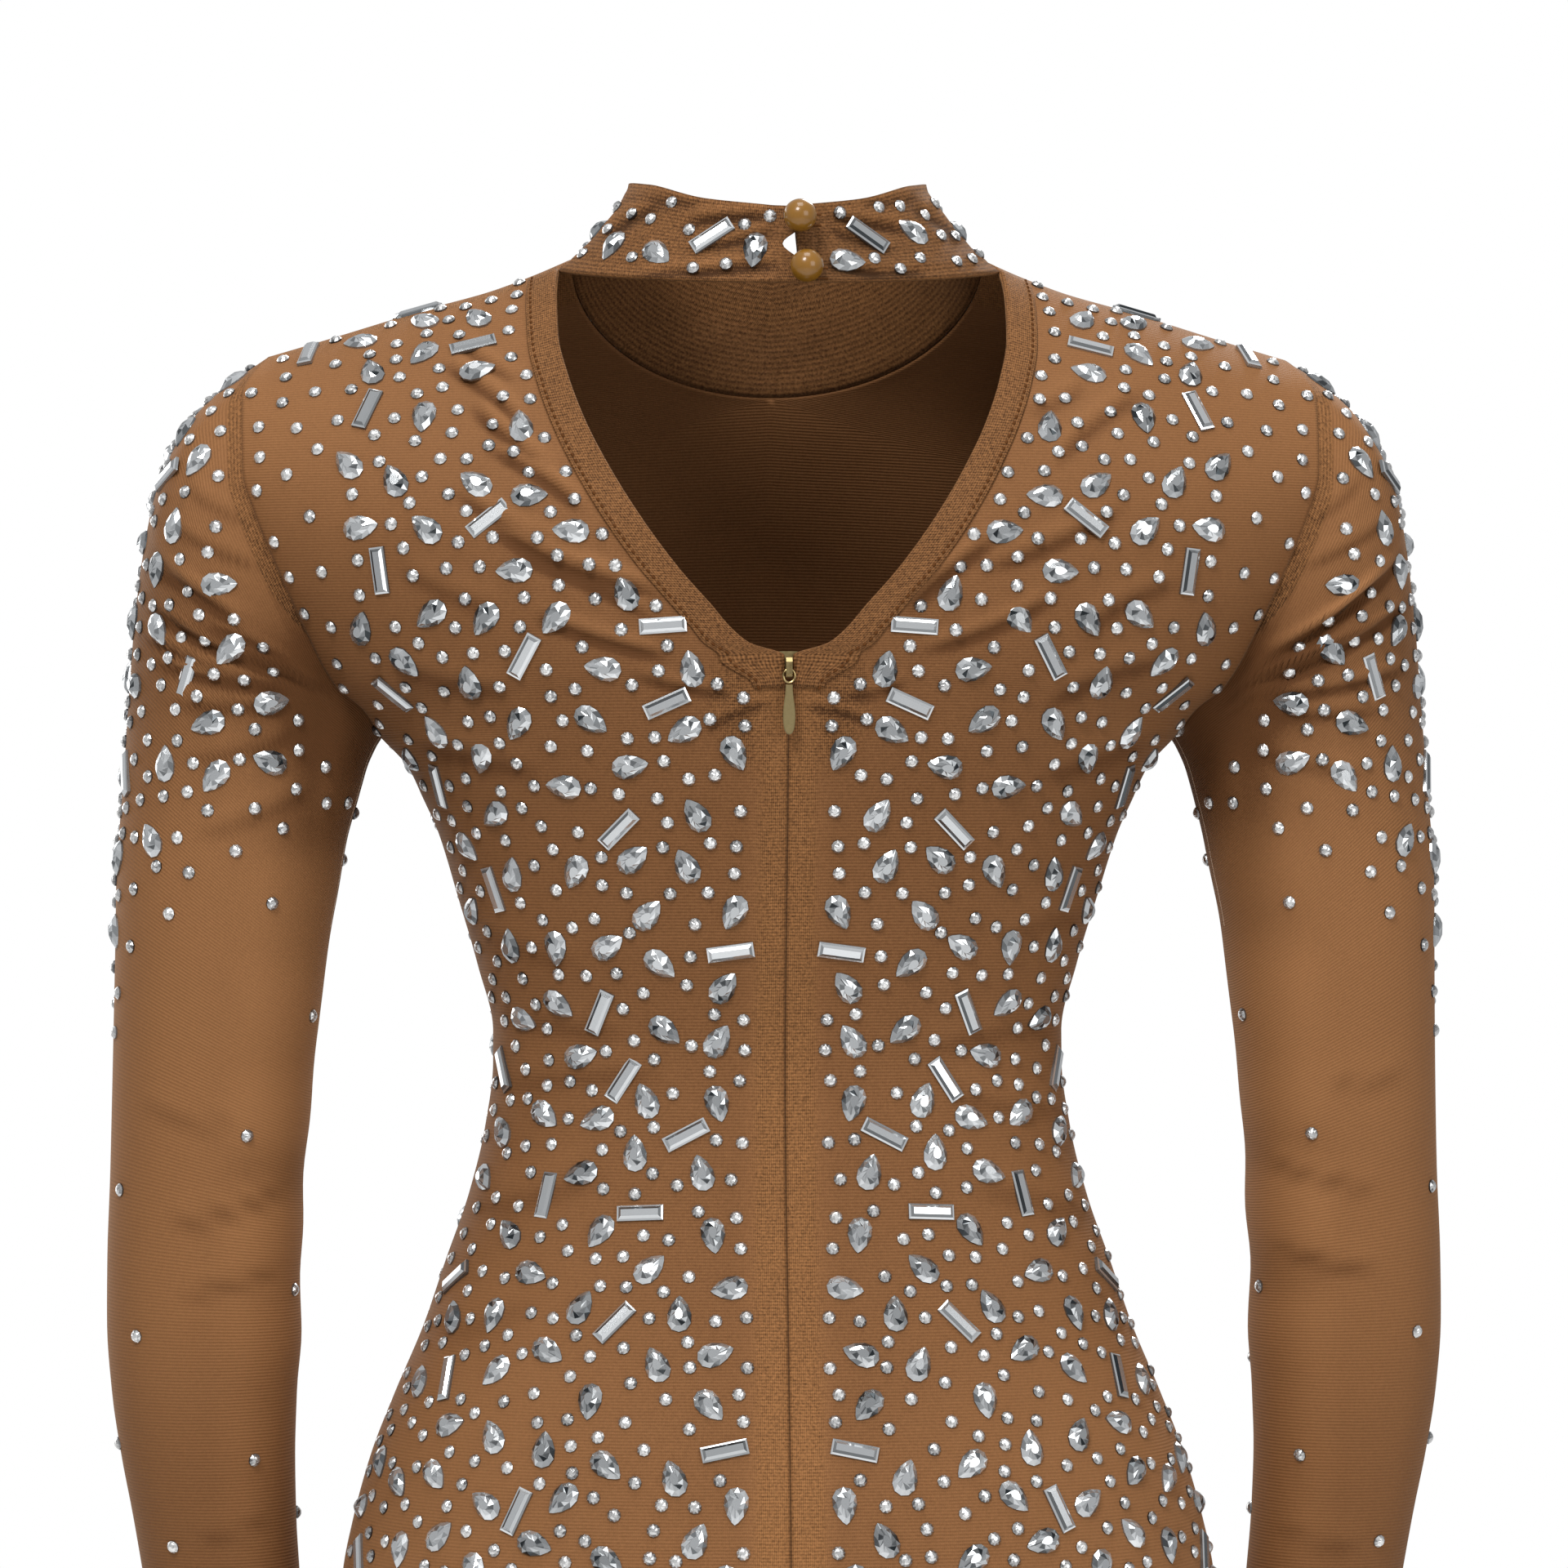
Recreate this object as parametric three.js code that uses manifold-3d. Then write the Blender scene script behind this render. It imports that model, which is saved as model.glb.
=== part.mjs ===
// Long-sleeved bodycon dress of stretch mesh, worn shape, hollow.
// It has a stand collar closed by two ball buttons, a V keyhole back with a turned binding,
// an invisible zip down the centre back, set-in sleeves and glued flat-back stones.
// Millimetres. +Z is up, the front faces -Y and the wearer's left is +X.
// The origin is midway between the two points where the shoulders meet the neck.

import * as THREE from 'three';
import { mergeVertices } from 'three/addons/utils/BufferGeometryUtils.js';
import Module from 'manifold-3d';

// ---------------------------------------------------------------- driving sizes

const CLOTH = 1.5; // wall of the mesh cloth
const TRIM = 1.0; // wall of the binding and of the zip tape
const GAP = 0.3; // clearance at each seam and under each layer

const UNDERARM = { x: 156, z: -187 };
const SHOULDER_TIP = { x: 200, z: -37 };
const NECK_POINT = { x: 81.6, z: 1.6 }; // where the shoulder seam meets the collar
const ARMHOLE_CENTRE = new THREE.Vector3(185, 0, -112);
const ARMHOLE_DEPTH = { back: 50, front: 46 }; // from the shoulder seam's plane
const NECK_CENTRE = new THREE.Vector3(0, 0, -60);
const FRONT_NECK_Z = -48; // lowest point of the front neckline
const KEYHOLE_TIP_Z = -156;
const KEYHOLE_CORNER_Z = -3.1;

const SECTION_POWER = { back: 2.4, front: 2.2 }; // 2 is an ellipse, more is squarer
const SHOULDER_POWER = 5; // how late the panels turn over the shoulder

// Half width of the body at the side seams, from the hem to the underarm.
const SIDES = [
  { z: -900, half: 150 },
  { z: -800, half: 158 },
  { z: -700, half: 166 },
  { z: -600, half: 172.5 },
  { z: -545, half: 173.5 },
  { z: -514, half: 171.1 },
  { z: -495, half: 167.4 },
  { z: -469, half: 160.3 },
  { z: -444, half: 150.6 },
  { z: -418, half: 139.5 },
  { z: -392, half: 130.6 },
  { z: -366, half: 121.6 },
  { z: -340, half: 115.3 },
  { z: -314, half: 112 },
  { z: -302, half: 112 },
  { z: -276, half: 118.2 },
  { z: -250, half: 125.8 },
  { z: -224, half: 133.7 },
  { z: -211, half: 139.5 },
  { z: -198, half: 145.8 },
  { z: -187, half: 156 },
];

// Depth of the body behind and in front of the side seams.
const DEPTHS = [
  { z: -900, back: 84, front: 91 },
  { z: -800, back: 87, front: 93 },
  { z: -700, back: 93, front: 97 },
  { z: -600, back: 110, front: 102 },
  { z: -530, back: 118, front: 107 },
  { z: -480, back: 112, front: 110 },
  { z: -420, back: 94, front: 112 },
  { z: -360, back: 73, front: 107 },
  { z: -314, back: 66, front: 101 },
  { z: -260, back: 77, front: 117 },
  { z: -210, back: 89, front: 138 },
  { z: -187, back: 94, front: 136 },
  { z: -150, back: 98, front: 120 },
  { z: -112, back: 97, front: 103 },
  { z: -80, back: 90, front: 88 },
  { z: -48, back: 80, front: 72 },
  { z: -20, back: 68, front: 62 },
  { z: 2, back: 58, front: 55 },
];

// The armhole seam, seen from behind and from the front, by its share of the armhole's height.
const ARMHOLE = [
  { share: 0, back: 156, front: 156 },
  { share: 0.073, back: 163, front: 162 },
  { share: 0.133, back: 173.5, front: 170 },
  { share: 0.293, back: 186, front: 180 },
  { share: 0.427, back: 195, front: 187 },
  { share: 0.573, back: 204, front: 194 },
  { share: 0.687, back: 209, front: 200 },
  { share: 0.88, back: 209.5, front: 205 },
  { share: 1, back: 200, front: 200 },
];

// The shoulder seam, from the neck to the sleeve.
const SHOULDER = [
  { x: 81.6, z: 1.6 },
  { x: 96.3, z: -4.8 },
  { x: 113.7, z: -11.3 },
  { x: 136.5, z: -17.7 },
  { x: 178.5, z: -30.6 },
  { x: 200, z: -37 },
];

// The keyhole's edge and the width of cloth that its binding covers, level with it.
// Below the tip the same strip is as wide as the zip tape.
const KEYHOLE = [
  { z: -900, edge: 0.15, band: 12 },
  { z: -178, edge: 0.15, band: 12 },
  { z: -166.3, edge: 1.5, band: 12.5 },
  { z: -156, edge: 1.8, band: 25 },
  { z: -151.3, edge: 15, band: 18 },
  { z: -145, edge: 22.5, band: 15.7 },
  { z: -137.5, edge: 28.8, band: 16.1 },
  { z: -123.5, edge: 41.2, band: 15.8 },
  { z: -104, edge: 55.6, band: 15 },
  { z: -84, edge: 67.8, band: 14 },
  { z: -65.5, edge: 77, band: 13 },
  { z: -48, edge: 83.2, band: 12.4 },
  { z: -31, edge: 87, band: 12 },
  { z: -14, edge: 87.6, band: 12 },
  { z: -3.1, edge: 86.6, band: 12 },
  { z: 1.6, edge: 81.6, band: 12 },
];

// The sleeve's rings below the armhole: the points on its outer and inner outlines,
// how far it lies behind the shoulder seam's plane and half its depth.
const SLEEVE = [
  { outerX: 212, outerZ: -45, innerX: 158.4, innerZ: -191.5, y: 0, depth: 49.5 },
  { outerX: 226, outerZ: -56.5, innerX: 161.3, innerZ: -198, y: 0, depth: 50.5 },
  { outerX: 237.5, outerZ: -73, innerX: 163.6, innerZ: -206, y: 0, depth: 50.5 },
  { outerX: 245, outerZ: -92, innerX: 166, innerZ: -215.5, y: 0, depth: 50 },
  { outerX: 249.3, outerZ: -114, innerX: 168.8, innerZ: -226, y: 0, depth: 49 },
  { outerX: 252.5, outerZ: -141, innerX: 171.5, innerZ: -238, y: 0, depth: 48 },
  { outerX: 254.9, outerZ: -173, innerX: 174.6, innerZ: -255, y: 0, depth: 47 },
  { outerX: 257.4, outerZ: -206, innerX: 177.6, innerZ: -275, y: 0, depth: 46 },
  { outerX: 260.2, outerZ: -241, innerX: 180.4, innerZ: -297, y: 0, depth: 44.5 },
  { outerX: 260.7, outerZ: -280, innerX: 183.2, innerZ: -322, y: -1.5, depth: 43 },
  { outerX: 261.2, outerZ: -318, innerX: 185.4, innerZ: -348, y: -3, depth: 41.5 },
  { outerX: 262.2, outerZ: -356, innerX: 187, innerZ: -373, y: -6, depth: 40.5 },
  { outerX: 263.9, outerZ: -391, innerX: 188.2, innerZ: -398, y: -9, depth: 39.5 },
  { outerX: 264.5, outerZ: -419, innerX: 188, innerZ: -421, y: -12, depth: 39 },
  { outerX: 262.9, outerZ: -445, innerX: 189.8, innerZ: -445, y: -15, depth: 38 },
  { outerX: 259.4, outerZ: -470, innerX: 190.9, innerZ: -470, y: -18, depth: 36.5 },
  { outerX: 254.8, outerZ: -495, innerX: 190.5, innerZ: -495, y: -21.5, depth: 34.5 },
  { outerX: 250, outerZ: -525, innerX: 188.7, innerZ: -525, y: -26, depth: 32 },
  { outerX: 245, outerZ: -560, innerX: 187, innerZ: -560, y: -31, depth: 29.5 },
  { outerX: 240.5, outerZ: -595, innerX: 185, innerZ: -595, y: -36.5, depth: 27.5 },
  { outerX: 237, outerZ: -628, innerX: 183.6, innerZ: -628, y: -41.5, depth: 25.5 },
  { outerX: 235, outerZ: -655, innerX: 183, innerZ: -655, y: -45, depth: 24.5 },
];
const SLEEVE_BLEND = 7; // rings over which the armhole's own curve fades out

// The collar's top edge, by its angle from the wearer's side: 90 is the back, -90 the front.
const COLLAR_TOP = [
  { turn: -90, z: 4 },
  { turn: -60, z: 11 },
  { turn: -30, z: 24 },
  { turn: 0, z: 31.5 },
  { turn: 30, z: 29 },
  { turn: 60, z: 22 },
  { turn: 90, z: 18.4 },
];
const COLLAR_TOP_RADIUS = { side: 58.8, back: 53, front: 60 };
const COLLAR_FOOT_RADIUS = { side: 89.6, back: 60 }; // where it crosses the keyhole
const COLLAR_FOOT_Z = -11;
const COLLAR_CORNER_TURN = 15; // where the collar leaves the back panel
const COLLAR_FREE_TURNS = [27, 40, 53, 66, 79];
const COLLAR_HOLLOW = 3.6; // how far the flare bows in
// The collar's two ends by height, each a share of the band: 0 is the foot, 1 the top.
const COLLAR_ENDS = [
  { share: 0, left: -10.4, right: -11 },
  { share: 0.25, left: -7.5, right: -10.6 },
  { share: 0.5, left: 0.5, right: -13 },
  { share: 0.75, left: -7, right: -10.2 },
  { share: 1, left: -8.2, right: -9.2 },
];

const BUTTON_RADIUS = 6.4;
const SHANK = { radius: 1.2, length: 2.2 };
const BUTTONS = [
  { name: 'top', x: -6, share: 0.81 },
  { name: 'bottom', x: -8.4, share: 0.09 },
];
const LOOP_RADIUS = 0.5;

const ZIP_FOOT_Z = -555; // lower end of the zip tapes
const PIVOT_Z = -161.4; // axis that the zip's pull swings about
const PIVOT_OUT = 2.4; // its distance from the cloth
const SLIDER = { width: 2.4, topZ: -157, footZ: -164.2, eye: 1.2, rim: 0.8 };
const SLIDER_PLATE = { width: 7, topZ: -154.5, footZ: -164.4, thick: 1.8, play: 1.3 };
const RING = { across: 2.2, down: 2.55, wire: 0.45 };
const TAB = { length: 19, top: 2.6, widest: 4.7, thick: 1.4 };

const BAR = { length: 18, width: 6, rise: 2.2, bevel: 1.2 }; // glued bar stones
const BAR_CYCLE = 8; // one cell of cloth in this many carries a bar

// Rows of the panels: level ones from the hem to the underarm, then rows that fan out.
const LEVEL_ROWS = { hem: -900, waistband: -540, coarse: 10, fine: 15 };
const FAN_ROWS = 12;
const COLUMNS = 8; // columns of each half panel, beside the keyhole's band

// ---------------------------------------------------------------- small maths

// Smooth curve through one column of a table, found by another column.
function along(table, key, place, column) {
  const rising = table[0][key] < table[table.length - 1][key];
  const rows = rising ? table : [...table].reverse();
  let i = 0;
  while (i < rows.length - 2 && place > rows[i + 1][key]) i += 1;
  const slope = (a, b) => (rows[b][column] - rows[a][column]) / (rows[b][key] - rows[a][key]);
  const step = rows[i + 1][key] - rows[i][key];
  const chord = slope(i, i + 1);
  const start = i > 0 ? gentle(slope(i - 1, i), chord) : chord;
  const end = i < rows.length - 2 ? gentle(chord, slope(i + 1, i + 2)) : chord;
  const t = Math.min(1, Math.max(0, (place - rows[i][key]) / step));
  const rise = rows[i + 1][column] - rows[i][column];
  const bend = start * step * t * (1 - t) * (1 - t) - end * step * t * t * (1 - t);
  return rows[i][column] + rise * t * t * (3 - 2 * t) + bend;
}

// Slope at a row that never overshoots its neighbours.
function gentle(before, after) {
  if (before * after <= 0) return 0;
  return (2 * before * after) / (before + after);
}

const shoulderShare = (x) => (x - NECK_POINT.x) / (SHOULDER_TIP.x - NECK_POINT.x);
const mix = (a, b, t) => a + (b - a) * t;
const degrees = (angle) => (angle * Math.PI) / 180;
const towards = (from, to) => to.clone().sub(from).normalize();
const moved = (point, direction, distance) => point.clone().addScaledVector(direction, distance);
const mirrored = (point) => new THREE.Vector3(-point.x, point.y, point.z);

// The corners of a round section, without repeating the first.
function circle(radius, sides) {
  return Array.from({ length: sides }, (_, i) => {
    const turn = (2 * Math.PI * i) / sides;
    return new THREE.Vector2(radius * Math.cos(turn), radius * Math.sin(turn));
  });
}

function geometryFrom(positions, triangles) {
  const geometry = new THREE.BufferGeometry();
  geometry.setAttribute('position', new THREE.Float32BufferAttribute(positions, 3));
  geometry.setIndex(triangles);
  return geometry;
}

// ---------------------------------------------------------------- walls of cloth

// A wall of cloth: outer cells of four points each, and an inner skin a thickness inside.
class Wall {
  constructor(thickness) {
    this.thickness = thickness;
    this.points = [];
    this.inward = [];
    this.found = new Map();
    this.cells = [];
  }

  // Adds a point, or finds the one already there. An edge may fix its own inward direction.
  point(place, inward = null) {
    const key = [place.x, place.y, place.z].map((v) => Math.round(v * 1000)).join();
    if (!this.found.has(key)) {
      this.found.set(key, this.points.length);
      this.points.push(place.clone());
      this.inward.push(inward);
    }
    return this.found.get(key);
  }

  // Corners run counter-clockwise as seen from outside.
  cell(corners, bar = null) {
    this.cells.push({ corners, bar });
  }

  // Gives each point without a fixed direction the mean of its cells' inward normals.
  settle() {
    const sums = this.points.map(() => new THREE.Vector3());
    for (const { corners } of this.cells) {
      const [a, b, c, d] = corners.map((i) => this.points[i]);
      const normal = c.clone().sub(a).cross(d.clone().sub(b));
      corners.forEach((i) => sums[i].sub(normal));
    }
    this.inward = this.inward.map((fixed, i) => {
      if (typeof fixed === 'function') return fixed(sums[i].clone().normalize());
      return fixed ?? sums[i].normalize();
    });
  }

  geometry() {
    const count = this.points.length;
    const inner = this.points.map((p, i) => moved(p, this.inward[i], this.thickness));
    const positions = [...this.points, ...inner];
    const triangles = [];
    const edges = new Set();
    for (const { corners, bar } of this.cells) {
      const [a, b, c, d] = corners;
      const raised = bar && barStone(corners.map((i) => this.points[i]), bar);
      if (raised) raised.forEach((face) => triangles.push(...face.map((v) => place(v, corners))));
      else triangles.push(a, b, c, a, c, d);
      triangles.push(a + count, c + count, b + count, a + count, d + count, c + count);
      corners.forEach((from, i) => edges.add(`${from},${corners[(i + 1) % 4]}`));
    }
    for (const edge of edges) {
      const [from, to] = edge.split(',').map(Number);
      if (edges.has(`${to},${from}`)) continue;
      triangles.push(to, from, from + count, to, from + count, to + count);
    }
    return geometryFrom(positions.flatMap((p) => p.toArray()), triangles);

    // A face's corner is a cell corner by number, or a new point of the stone.
    function place(vertex, corners) {
      if (typeof vertex === 'number') return corners[vertex];
      if (vertex.index === undefined) {
        vertex.index = positions.length;
        positions.push(vertex.point);
      }
      return vertex.index;
    }
  }
}

// A bar stone raised in the middle of a cell. Null where it does not fit.
function barStone(corners, turn) {
  const middle = corners.reduce((sum, p) => sum.addScaledVector(p, 0.25), new THREE.Vector3());
  const across = towards(corners[0], corners[2]);
  const out = across.clone().cross(towards(corners[1], corners[3])).normalize();
  const level = new THREE.Vector3(0, 0, 1).cross(out).normalize();
  const upright = out.clone().cross(level);
  const flat = (p) => {
    const offset = p.clone().sub(middle);
    return new THREE.Vector2(offset.dot(level), offset.dot(upright));
  };
  const rim = corners.map(flat);
  const outline = (inset) => [[1, 1], [-1, 1], [-1, -1], [1, -1]].map(([i, j]) => {
    const corner = new THREE.Vector2(i * (BAR.length / 2 - inset), j * (BAR.width / 2 - inset));
    return corner.rotateAround(new THREE.Vector2(), turn);
  });
  const lift = (corner, height) => {
    const point = moved(middle, level, corner.x).addScaledVector(upright, corner.y);
    return { point: point.addScaledVector(out, height), flat: corner };
  };
  const foot = outline(0).map((corner) => lift(corner, 0.02));
  const top = outline(BAR.bevel).map((corner) => lift(corner, BAR.rise));
  for (let first = 0; first < 4; first += 1) {
    const near = (i) => foot[(i + first) % 4];
    const faces = [];
    for (let i = 0; i < 4; i += 1) {
      const next = (i + 1) % 4;
      faces.push([i, next, near(next)], [i, near(next), near(i)]);
    }
    const flatOf = (v) => (typeof v === 'number' ? rim[v] : v.flat);
    if (faces.every((face) => turnsLeft(...face.map(flatOf)))) {
      foot.forEach((corner, i) => {
        const next = (i + 1) % 4;
        faces.push([corner, foot[next], top[next]], [corner, top[next], top[i]]);
      });
      faces.push([top[0], top[1], top[2]], [top[0], top[2], top[3]]);
      return faces;
    }
  }
  return null;
}

// True where three flat points turn left with a little room to spare.
function turnsLeft(a, b, c) {
  return (b.x - a.x) * (c.y - a.y) - (b.y - a.y) * (c.x - a.x) > 1.5;
}

// The same cell seen from its other side, cut along the same diagonal.
function turned([a, b, c, d]) {
  return [a, d, c, b];
}

// The bar that a panel's cell carries, as its turn, or null.
function barTurn(row, column) {
  if ((3 * row + column) % BAR_CYCLE !== 0) return null;
  return degrees((row * 67 + column * 41) % 180);
}

// ---------------------------------------------------------------- the body's panels

// Rows from the hem to the shoulder. Each has its height at the middle edge and at the
// side, and the share of the armhole's height that it has climbed.
function panelRows(side) {
  const rows = [];
  const { hem, waistband, coarse, fine } = LEVEL_ROWS;
  for (let i = 0; i < coarse; i += 1) rows.push(levelRow(mix(hem, waistband, i / coarse)));
  for (let i = 0; i <= fine; i += 1) rows.push(levelRow(mix(waistband, UNDERARM.z, i / fine)));
  for (let i = 1; i <= FAN_ROWS; i += 1) {
    const share = (1 - Math.cos((Math.PI * i) / FAN_ROWS)) / 2;
    const sideZ = mix(UNDERARM.z, SHOULDER_TIP.z, share);
    rows.push({ share, sideZ, ...(side === 'back' ? backEdge(i) : frontEdge(i)) });
  }
  return rows;
}

function levelRow(z) {
  return { share: 0, sideZ: z, middleZ: z, middleX: 0, level: true };
}

// The back's middle edge: three rows up to the keyhole's tip, then along its edge.
function backEdge(i) {
  const tipRow = 3;
  const rise = (1 - Math.cos((Math.PI * (i - tipRow)) / (FAN_ROWS - tipRow))) / 2;
  const below = mix(UNDERARM.z, KEYHOLE_TIP_Z, i / tipRow);
  const middleZ = i <= tipRow ? below : mix(KEYHOLE_TIP_Z, NECK_POINT.z, rise);
  return { middleZ, middleX: 0 };
}

// The front's middle edge: up the centre, then round the neckline as a quarter ellipse.
function frontEdge(i) {
  const pitRow = FAN_ROWS / 2;
  if (i <= pitRow) return { middleZ: mix(UNDERARM.z, FRONT_NECK_Z, i / pitRow), middleX: 0 };
  const turn = ((i - pitRow) / (FAN_ROWS - pitRow)) * (Math.PI / 2);
  const drop = NECK_POINT.z - FRONT_NECK_Z;
  return { middleZ: NECK_POINT.z - drop * Math.cos(turn), middleX: NECK_POINT.x * Math.sin(turn) };
}

// One row of the left half of a panel, its columns evenly spaced along the cloth.
function panelRow(side, row) {
  const power = SECTION_POWER[side];
  const { share } = row;
  const round = Math.sqrt(1 - share ** SHOULDER_POWER);
  const depthAt = (z) => along(DEPTHS, 'z', z, side) * round;
  const sideX = row.level
    ? along(SIDES, 'z', row.sideZ, 'half')
    : along(ARMHOLE, 'share', share, side);
  const edgeDepth = ARMHOLE_DEPTH[side] * Math.sin(Math.acos(2 * share - 1));
  const reach = round > 0 ? Math.min(0.9, edgeDepth / depthAt(row.sideZ)) : 0;
  const full = sideX / (1 - reach ** power) ** (1 / power);
  const edge = side === 'back' ? along(KEYHOLE, 'z', row.middleZ, 'edge') : row.middleX;
  const sign = side === 'back' ? 1 : -1;

  const place = (x) => {
    const over = (x - edge) / (sideX - edge);
    const straight = mix(NECK_POINT.z, SHOULDER_TIP.z, shoulderShare(x));
    const bow = x > NECK_POINT.x ? (along(SHOULDER, 'x', x, 'z') - straight) * share ** 6 : 0;
    const z = mix(row.middleZ, row.sideZ, over) + bow;
    const y = depthAt(z) * Math.max(0, 1 - (x / full) ** power) ** (1 / power);
    return new THREE.Vector3(x, sign * (GAP / 2 + y), z);
  };

  const start = side === 'back' ? edge + along(KEYHOLE, 'z', row.middleZ, 'band') : edge;
  const turnAt = (x) => Math.asin(Math.min(1, (x / full) ** (power / 2)));
  const fine = 120;
  const walk = [];
  for (let i = 0; i <= fine; i += 1) {
    walk.push(place(full * Math.sin(mix(turnAt(start), turnAt(sideX), i / fine)) ** (2 / power)));
  }
  const points = evenly(walk, COLUMNS);
  return side === 'back' ? [place(edge), ...points] : points;
}

// Points evenly spaced along a finely stepped line.
function evenly(walk, count) {
  const lengths = [0];
  for (let i = 1; i < walk.length; i += 1) {
    lengths.push(lengths[i - 1] + walk[i].distanceTo(walk[i - 1]));
  }
  const total = lengths[lengths.length - 1];
  const points = [];
  let i = 1;
  for (let n = 0; n <= count; n += 1) {
    const goal = (total * n) / count;
    while (i < walk.length - 1 && lengths[i] < goal) i += 1;
    const t = (goal - lengths[i - 1]) / (lengths[i] - lengths[i - 1]);
    points.push(walk[i - 1].clone().lerp(walk[i], Math.min(1, t)));
  }
  return points;
}

const backRows = panelRows('back');
const frontRows = panelRows('front');
const backGrid = backRows.map((row) => panelRow('back', row));
const frontGrid = frontRows.map((row) => panelRow('front', row));
const LAST_ROW = backRows.length - 1;
const FAN_START = LAST_ROW - FAN_ROWS; // the underarm's row

// Directions that a panel's edges share with the piece that meets them there.
function edgeDirection(side, row, column, point) {
  const grid = side === 'back' ? backGrid : frontGrid;
  const last = grid[row].length - 1;
  const neckRows = side === 'back' ? LAST_ROW - 1 : FAN_START + FAN_ROWS / 2;
  if (column === 0 && row >= neckRows) return towards(point, NECK_CENTRE);
  if (column === last && row >= FAN_START) return towards(point, ARMHOLE_CENTRE);
  const flatten = (axis) => (normal) => normal.setComponent(axis, 0).normalize();
  if (column === last || row === LAST_ROW) return flatten(1);
  const seamed = side === 'back' ? row <= FAN_START + 3 : true;
  if (column === 0 && seamed) return flatten(0);
  return null;
}

function addHalf(wall, side, sign) {
  const grid = side === 'back' ? backGrid : frontGrid;
  const index = grid.map((points, row) => points.map((p, column) => {
    const point = sign > 0 ? p : mirrored(p);
    const direction = edgeDirection(side, row, column, p);
    const fixed = direction instanceof THREE.Vector3 && sign < 0 ? mirrored(direction) : direction;
    return wall.point(point, fixed);
  }));
  const outward = (side === 'back') === (sign > 0);
  for (let row = 0; row < LAST_ROW; row += 1) {
    for (let column = 0; column < grid[row].length - 1; column += 1) {
      const corners = [
        index[row + 1][column],
        index[row + 1][column + 1],
        index[row][column + 1],
        index[row][column],
      ];
      const inner = column > (side === 'back' ? 0 : -1) && column < grid[row].length - 2;
      const turn = inner ? barTurn(row, column) : null;
      wall.cell(outward ? corners : turned(corners), turn && turn * sign);
    }
  }
}

function backPanel(sign) {
  const wall = new Wall(CLOTH);
  addHalf(wall, 'back', sign);
  wall.settle();
  return wall;
}

function frontPanel() {
  const wall = new Wall(CLOTH);
  addHalf(wall, 'front', 1);
  addHalf(wall, 'front', -1);
  wall.settle();
  return wall;
}

const backLeft = backPanel(1);

// A strip made from the left back panel's first columns, moved out or in, both hands.
function stripOnBack(rows, shift, sign) {
  const wall = new Wall(TRIM);
  const columns = backGrid[0].length;
  const index = rows.map((row) => [0, 1].map((column) => {
    const i = row * columns + column;
    const inward = backLeft.inward[i];
    const point = moved(backLeft.points[i], inward, shift);
    return wall.point(sign > 0 ? point : mirrored(point), sign > 0 ? inward : mirrored(inward));
  }));
  for (let r = 0; r < rows.length - 1; r += 1) {
    const corners = [index[r + 1][0], index[r + 1][1], index[r][1], index[r][0]];
    wall.cell(sign > 0 ? corners : turned(corners));
  }
  wall.settle();
  return wall.geometry();
}

// The turned binding lies on the panel, from beside the zip up to the collar.
function keyholeBinding(sign) {
  const rows = [];
  for (let row = FAN_START + 2; row <= LAST_ROW - 1; row += 1) rows.push(row);
  return stripOnBack(rows, -(GAP + TRIM), sign);
}

// The zip's tape lies inside the panel, from below the slider to the zip's foot.
function zipTape(sign) {
  const rows = backRows.map((row, i) => i).filter((i) => {
    return i <= FAN_START + 1 && backRows[i].middleZ >= ZIP_FOOT_Z;
  });
  return stripOnBack(rows, CLOTH + GAP, sign);
}

// ---------------------------------------------------------------- sleeves

// The armhole seam as a ring, from the shoulder over the back to the underarm and up the front.
function armholeRing() {
  const back = [];
  const front = [];
  for (let row = FAN_START; row <= LAST_ROW; row += 1) {
    back.push(backGrid[row][backGrid[row].length - 1]);
    front.push(frontGrid[row][frontGrid[row].length - 1]);
  }
  const seam = [...back].reverse().concat(front.slice(1, -1));
  return seam.map((p, i) => {
    const onSeam = i === 0 || i === FAN_ROWS;
    return new THREE.Vector3(p.x, onSeam ? 0 : p.y, p.z);
  });
}

function sleeve(sign) {
  const wall = new Wall(CLOTH);
  const seam = armholeRing();
  const around = seam.length;
  const first = {
    outerX: SHOULDER_TIP.x, outerZ: SHOULDER_TIP.z,
    innerX: UNDERARM.x, innerZ: UNDERARM.z, y: 0, depth: 48,
  };
  const oval = (ring, i) => {
    const turn = (2 * Math.PI * i) / around;
    const t = (1 - Math.cos(turn)) / 2;
    const y = ring.y + ring.depth * Math.sin(turn);
    return new THREE.Vector3(mix(ring.outerX, ring.innerX, t), y, mix(ring.outerZ, ring.innerZ, t));
  };
  const rings = [first, ...SLEEVE].map((ring, k) => seam.map((p, i) => {
    const fade = THREE.MathUtils.smoothstep(SLEEVE_BLEND - k, 0, SLEEVE_BLEND);
    return oval(ring, i).addScaledVector(p.clone().sub(oval(first, i)), fade);
  }));
  rings[0] = rings[0].map((p, i) => moved(p, towards(p, rings[1][i]), GAP * 1.2));
  const index = rings.map((ring, k) => ring.map((p, i) => {
    const inward = k === 0 ? towards(seam[i], ARMHOLE_CENTRE) : null;
    const point = sign > 0 ? p : mirrored(p);
    return wall.point(point, inward && (sign > 0 ? inward : mirrored(inward)));
  }));
  for (let k = 0; k < rings.length - 1; k += 1) {
    for (let i = 0; i < around; i += 1) {
      const next = (i + 1) % around;
      const corners = [index[k][i], index[k][next], index[k + 1][next], index[k + 1][i]];
      wall.cell(sign > 0 ? turned(corners) : corners);
    }
  }
  wall.settle();
  return wall.geometry();
}

// ---------------------------------------------------------------- collar

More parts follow.
